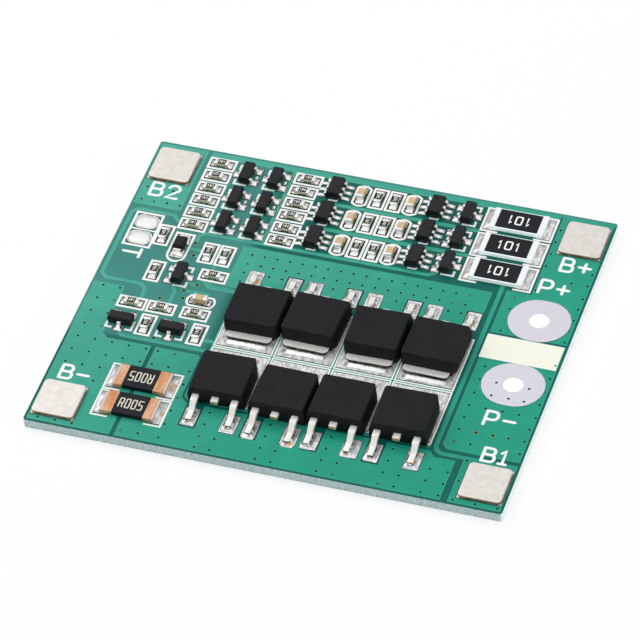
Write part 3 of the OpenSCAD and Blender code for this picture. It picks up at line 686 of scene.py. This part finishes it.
class BOARD_OT_laminate(BoardOperator, bpy.types.Operator):
    """Finish the laminate, its cut edge and the green mask"""
    bl_idname = "board.laminate"
    bl_label = "Laminate and Mask"

    def execute(self, context):
        look = settings(context, "laminate")
        self.edge(look)
        dress_nodes(self.mask("Mask over copper", look.copper_deep, look.copper_painted_sheen, self.painted_sheen_share),
                    "masked_copper")
        dress_nodes(self.mask("Mask over laminate", look.gap_deep, look.gap_pale_and_sheen, self.corner), "solder_mask")
        return {"FINISHED"}

    def edge(self, look):
        finish = Finish("Cut laminate", roughness=0.85)
        weave = finish.noise(3.0, 4, stretch=(1, 1, 3.5))
        crumbs = finish.noise(7.0, 2)
        base = finish.mix(finish.between(weave, 0.35, 0.65), GLASS_SHADE, look.cut_edge)
        base = finish.mix(finish.between(crumbs, 0.52, 0.75), base, GLASS_CRUMB)
        # Painted light: near the right-hand side the cut edge is painted almost white, as if lit strongly
        # from the right.
        right = finish.between(finish.axis("X"), cad_high.x - 0.2 * MM, cad_high.x - 0.05 * MM)
        base = finish.mix(finish.math("MULTIPLY", right, 0.85), base, RIGHT_EDGE_PAINTED_LIGHT)
        finish.paint(base_color=base)
        finish.bump(weave, look.tooth).bump(crumbs, look.tooth)
        dress_nodes(finish, "board_core")

    @staticmethod
    def painted_sheen_share(finish):
        """Share of painted sheen on the mask: all at the back left, none at the front right."""
        across = finish.math("MULTIPLY", finish.axis("X"), -20.0)
        along = finish.math("MULTIPLY", finish.axis("Y"), 16.0)
        return finish.math("ADD", finish.math("ADD", across, along), 0.33, clamp=True)

    def corner(self, finish):
        """Share of the paler mask in the control corner and along the back edge, partly its own paler colour
        and partly painted sheen.
        """
        inner = finish.between(finish.axis("X"), *(x * MM for x in CORNER_EDGE_X))
        below = finish.between(finish.axis("Y"), *(y * MM for y in CORNER_EDGE_Y))
        back = finish.between(finish.axis("Y"), *(y * MM for y in BACK_EDGE_Y))
        return finish.math("MAXIMUM", finish.math("MULTIPLY", inner, below), back)

    def mask(self, name, deep, bright, share):
        finish = Finish(name, roughness=0.35, specular_ior_level=0.16)
        # Deep to bright by share: painted sheen on the mask over copper; a paler colour plus painted sheen on
        # the mask over laminate.
        base = finish.shade(finish.mix(share(finish), deep, bright), 0.05, 0.35, 5)
        finish.paint(base_color=finish.shade(base, 0.05, 5.0, 2))
        finish.paint(roughness=finish.clouds(1.2, 0.28, 0.42))
        return finish.bump(finish.noise(2.5, 4), 0.004 * MM)


class BOARD_OT_tinned_copper(BoardOperator, bpy.types.Operator):
    """Finish the open pads, the output rings and the bare vias"""
    bl_idname = "board.tinned_copper"
    bl_label = "Tinned Copper"

    def execute(self, context):
        look = settings(context, "metal")
        pads = Finish("Tinned pads", metallic=0.6)
        stain = pads.between(pads.noise(1.6, 5), 0.52, 0.7)
        streak = pads.between(pads.noise(2.6, 5, stretch=(1, 0.45, 1)), 0.36, 0.62, 0.62, 1.0)
        tin = pads.mix(1.0, look.plating, pads.grey(streak), "MULTIPLY")
        base = pads.mix(pads.math("MULTIPLY", stain, 0.4), tin, look.flux)
        pads.paint(base_color=base, roughness=pads.clouds(4.0, 0.3, 0.55))
        pads.bump(pads.noise(3.0, 4), 0.012 * MM)
        dress_nodes(pads, "bare_pads")
        rings = Finish("Tinned rings", emission_color=(1, 1, 1))
        # Painted light: below the ring's top the barrel wall is painted white and glows, a painted reflection
        # of the pale floor.
        glowing_wall = rings.between(rings.axis("Z"), 1.19 * MM, 1.12 * MM)
        rings.paint(base_color=rings.mix(glowing_wall, rings.shade(look.ring, 0.05, 4.0), RING_BARREL_PAINTED_GLOW),
                    metallic=rings.between(glowing_wall, 0, 1, 0.85, 0.1),
                    emission_strength=rings.math("MULTIPLY", glowing_wall, 0.4),
                    roughness=rings.clouds(2.5, 0.34, 0.5))
        rings.bump(rings.noise(8.0, 3), 0.004 * MM)
        dress_nodes(rings, "p_plus_ring", "p_minus_ring")
        dress_nodes(cloudy("Bare via", BARE_VIA, 0.15, 6.0, metallic=0.4, roughness=0.6), "via_rings")
        return {"FINISHED"}


class BOARD_OT_mask_relief(BoardOperator, bpy.types.Operator):
    """Edge the copper and the pads under the mask and cap the vias"""
    bl_idname = "board.mask_relief"
    bl_label = "Mask Relief"

    def execute(self, context):
        look = settings(context, "laminate")
        sizes = settings(context, "joint")
        dark = cloudy("Mask opening", look.opening, 0.3, 4.0, roughness=0.5, specular_ior_level=0.2)
        self.openings(sizes, dark)
        rim = Finish("Copper shoulder", roughness=0.3, specular_ior_level=0.3)
        # Painted sheen: the shoulder is lighter towards the back left.
        rim.paint(base_color=rim.mix(BOARD_OT_laminate.painted_sheen_share(rim), look.shoulder_deep, look.shoulder_painted_sheen))
        self.shoulders(sizes.shoulder / MM, rim)
        cap = cloudy("Via cap", look.via_cap, 0.4, 3.0, roughness=0.5, specular_ior_level=0.12)
        self.via_caps(Random(sizes.seed + 5), cap)
        return {"FINISHED"}

    def top_faces(self, node):
        """Only the uppermost faces of a flat CAD node."""
        bm = copy_node(node)
        high = max(vert.co.z for vert in bm.verts)
        under = [f for f in bm.faces if f.normal.z < 0.9 or f.calc_center_median().z < high - 0.01]
        bmesh.ops.delete(bm, geom=under, context="FACES")
        return bm, high

    def openings(self, sizes, finish):
        """A dark rim round each pad, partly the gap where the mask stops short and partly painted shade; the
        pad hides the rest of the patch.
        """
        bm, _ = self.top_faces("bare_pads")
        small, broad = [], []
        for patch in patches(bm):
            low, high = span(patch)
            narrow, wide = sorted((high.x - low.x, high.y - low.y))
            chip_pad = narrow > CHIP_PAD_SPAN[0] and wide < CHIP_PAD_SPAN[1]
            (small if chip_pad else broad).extend(patch)
        for faces, width in ((small, sizes.opening_rim), (broad, sizes.broad_rim)):
            bmesh.ops.inset_region(bm, faces=faces, use_boundary=True, use_even_offset=True,
                                   thickness=-width / MM)
        level = box("silkscreen")[1].z - 0.002
        for vert in bm.verts:
            vert.co.z = level
        bmesh.ops.recalc_face_normals(bm, faces=bm.faces)
        if sum(face.normal.z for face in bm.faces) < 0:
            bmesh.ops.reverse_faces(bm, faces=bm.faces)
        finish_piece(bm, "mask_openings", finish, smooth=False)

    def shoulders(self, width, finish):
        """The sloped border that the mask forms over the edge of each copper field."""
        bm, high = self.top_faces("masked_copper")
        fields = list(bm.faces)
        border = {vert for edge in bm.edges if edge.is_boundary for vert in edge.verts}
        slope = bmesh.ops.inset_region(bm, faces=fields, use_boundary=True, use_even_offset=True,
                                       thickness=width)["faces"]
        bmesh.ops.delete(bm, geom=list(set(bm.faces) - set(slope)), context="FACES")
        for vert in bm.verts:
            vert.co.z = high + (SHOULDER_FOOT if vert in border else SHOULDER_LIFT)
        finish_piece(bm, "copper_shoulders", finish, smooth=False)

    def via_caps(self, random, finish):
        """A low cap of dark mask on each via and dot; here and there one has a bead of bright tin."""
        bm = bmesh.new()
        beads = bmesh.new()
        for node, radius in VIA_RADII:
            for low, high in self.wells(node, radius):
                at = middle((low, high))
                at.z = high.z + VIA_CAP_DEPTH / 2
                bmesh.ops.create_cone(bm, cap_ends=True, segments=10, radius1=radius * 1.12,
                                      radius2=radius * random.uniform(0.7, 0.95), depth=VIA_CAP_DEPTH,
                                      matrix=Matrix.Translation(at))
                if node == "masked_copper" and random.random() < BEAD_SHARE:
                    aside = Vector((random.uniform(-0.05, 0.05), random.uniform(-0.05, 0.05), VIA_CAP_DEPTH))
                    flat = Matrix.Translation(at + aside) @ Matrix.Diagonal((1, 1, 0.15, 1))
                    bmesh.ops.create_icosphere(beads, subdivisions=1, radius=BEAD_RADIUS, matrix=flat)
        finish_piece(bm, "via_plugs", finish, smooth=False)
        tin = Finish("Via bead", base_color=TIN_BEAD, roughness=0.4, metallic=0.2)
        finish_piece(beads, "via_beads", tin)

    def wells(self, node, radius):
        """Lowest and highest corner of each upright well of that radius in a CAD node."""
        bm = copy_node(node)
        flat = [face for face in bm.faces if abs(face.normal.z) > 0.5]
        bmesh.ops.delete(bm, geom=flat, context="FACES")
        boxes = in_order([span(patch) for patch in patches(bm)])
        bm.free()
        for low, high in boxes:
            size = high - low
            if max(abs(size.x - 2 * radius), abs(size.y - 2 * radius)) < VIA_SPAN_TOLERANCE:
                yield low, high


class BOARD_OT_printing(BoardOperator, bpy.types.Operator):
    """Finish the printed outlines and draw the terminal labels"""
    bl_idname = "board.printing"
    bl_label = "Printing"

    def execute(self, context):
        look = settings(context, "part")
        sizes = settings(context, "letter")
        ink = Finish("Board ink", roughness=0.6, specular_ior_level=0.3)
        speck = ink.between(ink.noise(5.0, 3), 0.25, 0.6, 0.93, 1.0)
        aside = ink.math("ABSOLUTE", ink.math("SUBTRACT", ink.axis("Y"), STRIPE_MIDDLE_Y * MM))
        stripe = ink.math("MULTIPLY", ink.math("LESS_THAN", aside, STRIPE_HALF_WIDTH * MM),
                          ink.math("GREATER_THAN", ink.axis("X"), STRIPE_LEFT_X * MM))
        base = ink.mix(stripe, look.ink, STRIPE_INK)
        ink.paint(base_color=ink.mix(1.0, base, ink.grey(speck), "MULTIPLY"))
        dress_nodes(ink, "silkscreen")
        surface = box("solder_mask")[1].z
        labels = Lettering(sizes.label_stroke / MM, sizes.ink_depth / MM)
        for name, x0, x1, y0, y1 in TERMINAL_LABELS:
            labels.glyph(name, Matrix.Translation((x0, y0, surface)), x1 - x0, y1 - y0)
        sideways = Matrix.Translation((*T_LABEL, surface)) @ Matrix.Rotation(-math.pi / 2, 4, "Z")
        labels.glyph("T", sideways, *T_LABEL_SIZE)
        labels.done("terminal_labels", ink, "print")
        return {"FINISHED"}


class BOARD_OT_weld_tabs(BoardOperator, bpy.types.Operator):
    """Make the four nickel weld tabs with rolled edges"""
    bl_idname = "board.weld_tabs"
    bl_label = "Weld Tabs"

    def execute(self, context):
        look = settings(context, "metal")
        finish = Finish("Nickel tab", metallic=0.7)
        face = finish.shade(finish.shade(look.nickel, 0.07, 5.0, 4), 0.05, 1.2)
        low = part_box("tab_b1")[0].z
        rim = finish.between(finish.axis("Z"), low + 0.34 * MM, low + 0.22 * MM)
        # Painted shade: the side turns dark brown at its foot, where the tab meets its pad.
        foot = finish.between(finish.axis("Z"), low + 0.12 * MM, low + 0.06 * MM)
        stain = finish.between(finish.noise(1.5, 3), 0.25, 0.6, 0.65, 1.0)
        side = finish.mix(foot, look.nickel_edge, TAB_FOOT_PAINTED_SHADE)
        finish.paint(base_color=finish.mix(finish.math("MULTIPLY", rim, stain), face, side),
                     roughness=finish.clouds(5.0, 0.36, 0.5))
        finish.bump(finish.noise(9.0, 3), 0.005 * MM)
        for node in nodes_named("tab_"):
            self.tab(node, finish)
        return {"FINISHED"}

    def tab(self, node, finish):
        """A square of strip with round corners and a rolled top edge."""
        low, high = box(node)
        size = high - low
        bm = bmesh.new()
        bmesh.ops.create_cube(bm, size=1, matrix=Matrix.Translation(middle((low, high)))
                              @ Matrix.Diagonal((*size, 1)))
        upright = [e for e in bm.edges if abs(e.verts[0].co.z - e.verts[1].co.z) > size.z / 2]
        bmesh.ops.bevel(bm, geom=upright, offset=TAB_CORNER, segments=8, profile=0.5, affect="EDGES",
                        material=-1)
        rim = [e for e in bm.edges if all(v.co.z > high.z - MERGE for v in e.verts)]
        bmesh.ops.bevel(bm, geom=rim, offset=TAB_RIM, segments=4, profile=0.5, affect="EDGES", material=-1)
        stand_in(bm, node, finish)


class BOARD_OT_power_transistors(BoardOperator, bpy.types.Operator):
    """Finish the power transistors' mouldings and legs"""
    bl_idname = "board.power_transistors"
    bl_label = "Power Transistors"

    def execute(self, context):
        look = settings(context, "part")
        sizes = settings(context, "joint")
        mould = Finish("Power moulding", roughness=0.6, specular_ior_level=0.18)
        mould.paint(base_color=mould.shade(mould.shade(look.mould, 0.12, 0.5, 4), 0.25, 9.0, 2),
                    roughness=mould.clouds(6.0, 0.52, 0.72))
        mould.bump(mould.noise(14.0, 3), 0.006 * MM)
        soften_all(nodes_named("mosfet_body_"), mould, sizes.soft_edge)
        legs = self.leadframe(context)
        sheared = cloudy("Sheared copper", settings(context, "metal").sheared, 0.25, 3.0, metallic=0.3,
                         roughness=0.5)
        for node in nodes_named("mosfet_legs_"):
            piece = soften(node, legs, sizes.metal_edge)
            self.shear(piece, node, sheared)
        return {"FINISHED"}

    def leadframe(self, context):
        """Matt tin that shines less than solder, dark in patches low down, partly painted shade and partly
        flux.
        """
        look = settings(context, "metal")
        legs = Finish("Leadframe", metallic=0.35)
        face = legs.shade(legs.shade(look.leg, 0.06, 9.0, 3), 0.05, 2.0)
        low = pad_height() * MM
        # Below this height the legs take the flank colour in patches: painted shade, with flux.
        flank = legs.between(legs.axis("Z"), low + 0.43 * MM, low + 0.37 * MM)
        patchy = legs.between(legs.noise(2.2, 4), 0.3, 0.55, 0.7, 1.0)
        legs.paint(base_color=legs.mix(legs.math("MULTIPLY", flank, patchy), face, look.flank),
                   roughness=legs.clouds(3.0, 0.4, 0.6))
        return legs.bump(legs.noise(7.0, 3), 0.006 * MM)

    def shear(self, piece, node, finish):
        """Gives the end face of the short middle leg its bare copper."""
        low, high = box(node)
        centre = (low.x + high.x) / 2
        lowest = pad_height() + 0.6
        piece.data.materials.append(finish.material)
        for polygon in piece.data.polygons:
            at = polygon.center / MM
            upright = abs(polygon.normal.y) > 0.7 and at.z > lowest
            if upright and abs(at.x - centre) < 0.8:
                polygon.material_index = 1


def leg_finish(context):
    """Tinned leadframe with a little burnt flux."""
    look = settings(context, "metal")
    legs = Finish("Tinned legs", metallic=0.5)
    burnt = legs.between(legs.noise(1.8, 4), 0.6, 0.74)
    base = legs.mix(legs.math("MULTIPLY", burnt, 0.5), legs.shade(look.leg, 0.08, 4.0), look.flux)
    legs.paint(base_color=base, roughness=legs.clouds(3.0, 0.28, 0.5))
    return legs.bump(legs.noise(5.0, 3), 0.008 * MM)


class BOARD_OT_small_packages(BoardOperator, bpy.types.Operator):
    """Finish the three- and six-legged packages and the diode"""
    bl_idname = "board.small_packages"
    bl_label = "Small Packages"

    def execute(self, context):
        look = settings(context, "part")
        sizes = settings(context, "joint")
        mould = Finish("Small moulding", roughness=0.5, specular_ior_level=0.28)
        mould.paint(base_color=mould.shade(look.small_mould, 0.3, 5.0, 3),
                    roughness=mould.clouds(4.0, 0.42, 0.65))
        mould.bump(mould.noise(7.0, 3), 0.01 * MM)
        bodies = nodes_named("protection_ic_") + nodes_named("balance_ic_")
        bodies = [n for n in bodies if not n.endswith("_legs")]
        bodies += nodes_named("", "_transistors") + ["diode_body"]
        soften_all(bodies, mould, sizes.soft_edge)
        legs = [n for n in nodes_named("", "_legs") if not n.startswith("mosfet")]
        soften_all(legs, leg_finish(context), sizes.metal_edge / 2)
        return {"FINISHED"}


def coat_finish(look):
    coat = Finish("Black overglaze", roughness=0.4, specular_ior_level=0.22)
    coat.paint(base_color=coat.shade(look.coat, 0.15, 3.0, 3),
               roughness=coat.clouds(2.0, 0.3, 0.5))
    return coat.bump(coat.noise(2.0, 3), 0.01 * MM)


def end_cap_finish(context):
    caps = Finish("Plated end", metallic=0.6)
    caps.paint(base_color=caps.shade(settings(context, "metal").solder, 0.12, 5.0, 3),
               roughness=caps.clouds(4.0, 0.18, 0.4))
    return caps.bump(caps.noise(4.0, 3), 0.02 * MM)


class BOARD_OT_chip_parts(BoardOperator, bpy.types.Operator):
    """Finish the small chip resistors and capacitors and print their codes"""
    bl_idname = "board.chip_parts"
    bl_label = "Chip Parts"

    def execute(self, context):
        look = settings(context, "part")
        sizes = settings(context, "joint")
        ceramic = cloudy("Chip ceramic", look.chip_ceramic, 0.12, 4.0, roughness=0.7)
        tan = cloudy("Capacitor ceramic", look.capacitor, 0.1, 3.0, roughness=0.5)
        soften_all(["resistor_ceramics"], ceramic, sizes.metal_edge)
        soften_all(["capacitor_bodies"], tan, sizes.soft_edge)
        soften_all(["resistor_coats"], coat_finish(look), sizes.metal_edge / 2)
        soften_all(["resistor_terminals", "capacitor_terminals"], end_cap_finish(context),
                   sizes.metal_edge / 4)
        self.codes(context)
        return {"FINISHED"}

    def codes(self, context):
        """Three plain digits on each small chip resistor, along its length."""
        sizes = settings(context, "letter")
        ink = Finish("Value ink", base_color=settings(context, "part").value_ink, roughness=0.6)
        text = Lettering(sizes.small_stroke / MM, sizes.ink_depth / MM / 2)
        codes = (("1", "0", "3"), ("1", "0", "2"), ("3", "0", "1"), ("1", "0", "4"))
        for i, (low, high) in enumerate(islands("resistor_coats")):
            size = high - low
            place = on_top(low, high, 0 if size.x > size.y else math.pi / 2)
            text.word(codes[i % len(codes)], place, *SMALL_CODE)
        text.done("chip_codes", ink, "print")


class BOARD_OT_large_chips(BoardOperator, bpy.types.Operator):
    """Finish the bleed resistors and the shunts and print their codes"""
    bl_idname = "board.large_chips"
    bl_label = "Bleed Resistors and Shunts"

    def execute(self, context):
        look = settings(context, "part")
        sizes = settings(context, "joint")
        # Painted light: the white alumina is given a faint glow.
        alumina = cloudy("White alumina", look.alumina, 0.04, 3.0, roughness=0.55,
                         emission_color=ALUMINA_GLOW, emission_strength=0.25)
        coat = coat_finish(look)
        soften_all(["bleed_ceramics"], alumina, sizes.metal_edge)
        soften_all(["bleed_coats"], coat, sizes.metal_edge / 2)
        matt = cloudy("Matt plated end", MATT_END, 0.03, 4.0, metallic=0.15, roughness=0.5)
        soften_all(["bleed_terminals"], matt, sizes.metal_edge / 4)
        soften_all(["shunt_bodies"], coat, sizes.soft_edge)
        copper = Finish("Copper alloy", metallic=0.75)
        worn = copper.between(copper.noise(1.1, 4, stretch=(1, 0.3, 1)), 0.35, 0.7)
        base = copper.mix(worn, settings(context, "metal").copper, WORN_COPPER)
        base = copper.shade(base, 0.1, 6.0, 3)
        low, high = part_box("shunt_terminals")
        half = (high.x - low.x) / 2
        reach = copper.math("ABSOLUTE", copper.math("SUBTRACT", copper.axis("X"), (low.x + high.x) / 2))
        tip = copper.between(reach, half - 0.27 * MM, half - 0.2 * MM)
        copper.paint(base_color=copper.mix(tip, base, SHUNT_TIP), roughness=0.42)
        copper.bump(copper.noise(4.0, 3, stretch=(1, 0.2, 1)), 0.01 * MM)
        soften_all(["shunt_terminals"], copper, sizes.soft_edge)
        self.codes(context)
        return {"FINISHED"}

    def codes(self, context):
        """Codes of plain strokes on the bleed resistors and the shunts."""
        sizes = settings(context, "letter")
        white = Finish("Code ink", base_color=settings(context, "part").ink, roughness=0.6)
        text = Lettering(sizes.code_stroke / MM, sizes.ink_depth / MM)
        for i, (low, high) in enumerate(islands("bleed_coats")):
            place = on_top(low, high, 0 if i == 1 else math.pi)
            for name, x, width in BLEED_CODE:
                corner = Matrix.Translation((x - width / 2, -BLEED_CODE_HEIGHT / 2, 0))
                text.glyph(name, place @ corner, width, BLEED_CODE_HEIGHT)
        text.done("bleed_codes", white, "print")
        grey = Finish("Shunt code ink", base_color=SHUNT_INK, roughness=0.6)
        text = Lettering(SHUNT_STROKE, sizes.ink_depth / MM)
        for i, (low, high) in enumerate(islands("shunt_bodies")):
            text.word(("boxR", "box0", "box0", "box5"), on_top(low, high, math.pi * i), *SHUNT_CODE)
        text.done("shunt_codes", grey, "print")


class BOARD_OT_solder(BoardOperator, bpy.types.Operator):
    """Press the solder joints of every part"""
    bl_idname = "board.solder"
    bl_label = "Solder Joints"

    def execute(self, context):
        sizes = settings(context, "joint")
        self.pad = pad_height()
        bright = Finish("Solder", metallic=1.0)
        bright.paint(base_color=bright.shade(settings(context, "metal").solder, 0.08, 3.0),
                     roughness=bright.clouds(2.5, 0.12, 0.3))
        bright.bump(bright.noise(2.2, 3), 0.03 * MM)
        height = sizes.chip_height / MM
        small = (("resistor_terminals", "resistor_ceramics", CHIP_FILLET, height),
                 ("capacitor_terminals", "capacitor_bodies", CHIP_FILLET, height * 1.6))
        self.chips(sizes.seed, small).done("chip_joints", bright, "tinned")
        large = (("bleed_terminals", "bleed_ceramics", *BLEED_FILLET),
                 ("shunt_terminals", "shunt_bodies", *SHUNT_FILLET))
        self.chips(sizes.seed + 4, large).done("large_chip_joints", self.stained(context), "tinned")
        self.legs(sizes).done("leg_joints", bright, "tinned")
        self.power(sizes).done("power_joints", self.fluxed(context), "tinned")
        smooth = cloudy("Probe solder", PROBE_SOLDER, 0.04, 1.5, metallic=0.5, roughness=0.2)
        self.probes(sizes).done("probe_domes", smooth, "tinned")
        return {"FINISHED"}

    def stained(self, context):
        """Solder that has dulled to violet grey, with streaks of gold flux."""
        look = settings(context, "metal")
        finish = Finish("Dulled solder", metallic=0.45)
        dull = finish.between(finish.noise(2.2, 4, stretch=(1, 0.5, 1)), 0.35, 0.65)
        gold = finish.between(finish.noise(1.3, 4, stretch=(1, 0.35, 1)), 0.56, 0.66)
        base = finish.mix(dull, DULL_SOLDER, look.solder)
        finish.paint(base_color=finish.mix(finish.math("MULTIPLY", gold, 0.6), base, look.amber),
                     roughness=finish.clouds(3.0, 0.2, 0.45))
        return finish.bump(finish.noise(2.5, 3), 0.03 * MM)

    def fluxed(self, context):
        """Bright solder, dark in patches where it climbs the metal, partly painted shade and partly burnt
        flux, with amber flux.
        """
        look = settings(context, "metal")
        finish = Finish("Fluxed solder", metallic=0.7)
        climb = finish.between(finish.axis("Z"), (self.pad + 0.05) * MM, (self.pad + 0.17) * MM)
        burnt = finish.math("MULTIPLY", climb, finish.between(finish.noise(2.6, 4), 0.42, 0.54))
        amber = finish.math("MULTIPLY", climb, finish.between(finish.noise(0.7, 2), 0.6, 0.66))
        clean = finish.shade(look.solder, 0.05, 3.0)
        # The flank colour in these patches is partly painted shade and partly burnt flux.
        base = finish.mix(finish.math("MULTIPLY", burnt, 0.8), clean, look.flank)
        finish.paint(base_color=finish.mix(amber, base, look.amber),
                     roughness=finish.clouds(2.5, 0.2, 0.4))
        return finish.bump(finish.noise(2.0, 3), 0.013 * MM)

    def chips(self, seed, families):
        """Fillets in front of each end cap, out to the pad's edge."""
        lump = Lump(seed)
        for caps, cores, size, height in families:
            middles = [middle(corners) for corners in islands(cores)]
            for low, high in islands(caps):
                core = nearest(middles, middle((low, high)))
                offset = middle((low, high)) - core
                along = Vector((1, 0, 0) if abs(offset.x) > abs(offset.y) else (0, 1, 0))
                outward, start = toe(low, high, core, along, self.pad)
                lump.press(pose_at(start - outward * 0.02, outward), size, height, 1.7, 6)
        return lump

    def legs(self, sizes):
        """A low pillow over each small foot."""
        lump = Lump(sizes.seed + 1)
        for family in ("sense_transistor", "shift_transistor", "bleed_transistor", "driver_transistor"):
            self.feet(lump, family + "_legs", islands(family + "s"), *THREE_LEG_PILLOW, sizes)
        self.feet(lump, "diode_legs", [box("diode_body")], *DIODE_PILLOW, sizes)
        for family in ("protection_ic", "balance_ic"):
            bodies = [box("%s_%d" % (family, k)) for k in (1, 2, 3)]
            self.feet(lump, family + "_legs", bodies, *SIX_LEG_PILLOW, sizes)
        return lump

    def feet(self, lump, legs, bodies, size, past, sizes):
        """Pillows that end past the toes of one family of legs, with a wedge against the wider ones."""
        middles = [middle(corners) for corners in bodies]
        for low, high in islands(legs):
            core = nearest(middles, middle((low, high)))
            along = Vector((1, 0, 0) if high.x - low.x > high.y - low.y else (0, 1, 0))
            outward, end = toe(low, high, core, along, self.pad)
            lump.dome(pose_at(end + outward * (past - size[0] / 2), outward), size,
                      sizes.leg_height / MM, 0.1)
            if size[1] > 0.8:
                wedge = pose_at(end - outward * 0.48, outward)
                lump.press(wedge, (past + 0.42, size[1] * 0.96), sizes.leg_height / MM * 3, 1.0, 8, 0.62)

    def power(self, sizes):
        """Joints of the power transistors: round both feet and in front of the drain tab."""
        lump = Lump(sizes.seed + 2)
        for i in range(1, 9):
            core = middle(box("mosfet_body_%d" % i))
            outward = Vector((0, -1 if i <= 4 else 1, 0))
            for low, high in islands("mosfet_legs_%d" % i):
                at = Vector(((low.x + high.x) / 2, high.y if outward.y > 0 else low.y, self.pad))
                if abs(at.x - core.x) < 1:
                    at.y = low.y if outward.y > 0 else high.y
                    lump.press(pose_at(at - outward * 0.1, -outward), *DRAIN_FILLET, 1.2, 10)
                    continue
                lump.skirt(pose_at(at - outward * 0.58, outward), *FOOT_SKIRT)
        return lump

    def probes(self, sizes):
        """Domes on the two thermistor pads, known by their size."""
        lump = Lump(sizes.seed + 3)
        for low, high in islands("bare_pads"):
            size = high - low
            if PROBE_PAD_X[0] < size.x < PROBE_PAD_X[1] and PROBE_PAD_Y[0] < size.y < PROBE_PAD_Y[1]:
                at = middle((low, high))
                at.z = self.pad - 0.01
                lump.dome(Matrix.Translation(at), size * 0.97, sizes.probe_height / MM, 0.42)
        return lump


class BOARD_OT_stage(BoardOperator, bpy.types.Operator):
    """Set the pale floor, the soft light and the camera"""
    bl_idname = "board.stage"
    bl_label = "Stage"

    def execute(self, context):
        look = settings(context, "stage")
        context.scene.view_settings.view_transform = "Standard"
        self.floor(look)
        self.world(context, look)
        self.softbox("Key softbox", (-0.42, 0.16, 0.42), 0.4, look.key_power)
        self.softbox("Side softbox", (0.58, -0.05, 0.1), 0.3, look.side_power)
        self.camera(context, look)
        return {"FINISHED"}

    def floor(self, look):
        bm = bmesh.new()
        bmesh.ops.create_grid(bm, x_segments=1, y_segments=1, size=3,
                              matrix=Matrix.Translation((0, 0, -0.02 * MM)))
        floor = link(bm, "floor")
        finish = Finish("Floor", base_color=look.floor, roughness=0.9, specular_ior_level=0.0)
        path = finish.node("LightPath", {})
        seen = finish.math("MAXIMUM", path.outputs["Is Camera Ray"], path.outputs["Is Glossy Ray"])
        seen = finish.math("MAXIMUM", seen, path.outputs["Is Transmission Ray"])
        white = finish.node("Emission", {"Color": (1, 1, 1), "Strength": 1.0})
        blend = finish.node("MixShader", {0: finish.math("MULTIPLY", seen, 0.7)})
        finish.links.new(finish.shader.outputs[0], blend.inputs[1])
        finish.links.new(white.outputs[0], blend.inputs[2])
        finish.links.new(blend.outputs[0], finish.nodes["Material Output"].inputs["Surface"])
        dress(floor, finish)

    def world(self, context, look):
        """Room that is brightest overhead, so metal keeps some contrast."""
        world = bpy.data.worlds.new("Studio")
        context.scene.world = world
        world.use_nodes = True
        nodes = world.node_tree.nodes
        links = world.node_tree.links
        place = nodes.new("ShaderNodeTexCoord")
        split = nodes.new("ShaderNodeSeparateXYZ")
        ramp = nodes.new("ShaderNodeValToRGB")
        links.new(place.outputs["Generated"], split.inputs[0])
        links.new(split.outputs["Z"], ramp.inputs["Fac"])
        stops = ramp.color_ramp.elements
        stops.new(0.5)
        for stop, (height, level) in zip(stops, ((0.0, 0.25), (0.5, 0.55), (0.75, 0.95))):
            stop.position = height
            stop.color = (level, level, level, 1)
        links.new(ramp.outputs["Color"], nodes["Background"].inputs["Color"])
        nodes["Background"].inputs["Strength"].default_value = look.world_light

    def softbox(self, name, at, size, power):
        data = bpy.data.lights.new(name, "AREA")
        data.shape = "SQUARE"
        data.size = size
        data.energy = power
        light = bpy.data.objects.new(name, data)
        light.location = at
        light.rotation_euler = (-Vector(at)).to_track_quat("-Z", "Y").to_euler()
        bpy.context.scene.collection.objects.link(light)

    def camera(self, context, look):
        data = bpy.data.cameras.new("Camera")
        data.lens = look.lens
        data.sensor_width = 36
        data.clip_start = 0.01
        data.clip_end = 20
        camera = bpy.data.objects.new("Camera", data)
        right = Vector((0.948317, 0.311381, -0.061128))
        up = Vector((-0.180723, 0.688312, 0.702542))
        turn = Matrix((right, up, right.cross(up))).transposed().to_4x4()
        camera.matrix_world = Matrix.Translation(Vector((142.831, -360.194, 390.869)) * MM) @ turn
        context.scene.collection.objects.link(camera)
        context.scene.camera = camera


OPERATORS = (BOARD_OT_laminate, BOARD_OT_tinned_copper, BOARD_OT_mask_relief, BOARD_OT_printing,
             BOARD_OT_weld_tabs, BOARD_OT_power_transistors, BOARD_OT_small_packages, BOARD_OT_chip_parts,
             BOARD_OT_large_chips, BOARD_OT_solder, BOARD_OT_stage)


class BOARD_PT_sidebar(bpy.types.Panel):
    """Lists the steps that dress the board and their settings"""
    bl_idname = "BOARD_PT_sidebar"
    bl_label = "Battery Management Board"
    bl_space_type = "VIEW_3D"
    bl_region_type = "UI"
    bl_category = "Board"

    def draw(self, context):
        for operator in OPERATORS:
            self.layout.operator(operator.bl_idname)
        for name, group in SETTINGS:
            panel = self.layout.box()
            panel.label(text=group.__doc__)
            for prop in group.__annotations__:
                panel.prop(settings(context, name), prop)


def register():
    for _, group in SETTINGS:
        bpy.utils.register_class(group)
    for item in OPERATORS + (BOARD_PT_sidebar,):
        bpy.utils.register_class(item)
    for name, group in SETTINGS:
        setattr(bpy.types.Scene, "board_" + name, PointerProperty(type=group))


def unregister():
    for name, _ in SETTINGS:
        delattr(bpy.types.Scene, "board_" + name)
    for item in reversed(OPERATORS + (BOARD_PT_sidebar,)):
        bpy.utils.unregister_class(item)
    for _, group in reversed(SETTINGS):
        bpy.utils.unregister_class(group)


def main():
    register()
    for operator in OPERATORS:
        family, step = operator.bl_idname.split(".")
        getattr(getattr(bpy.ops, family), step)()


if __name__ == "__main__":
    main()
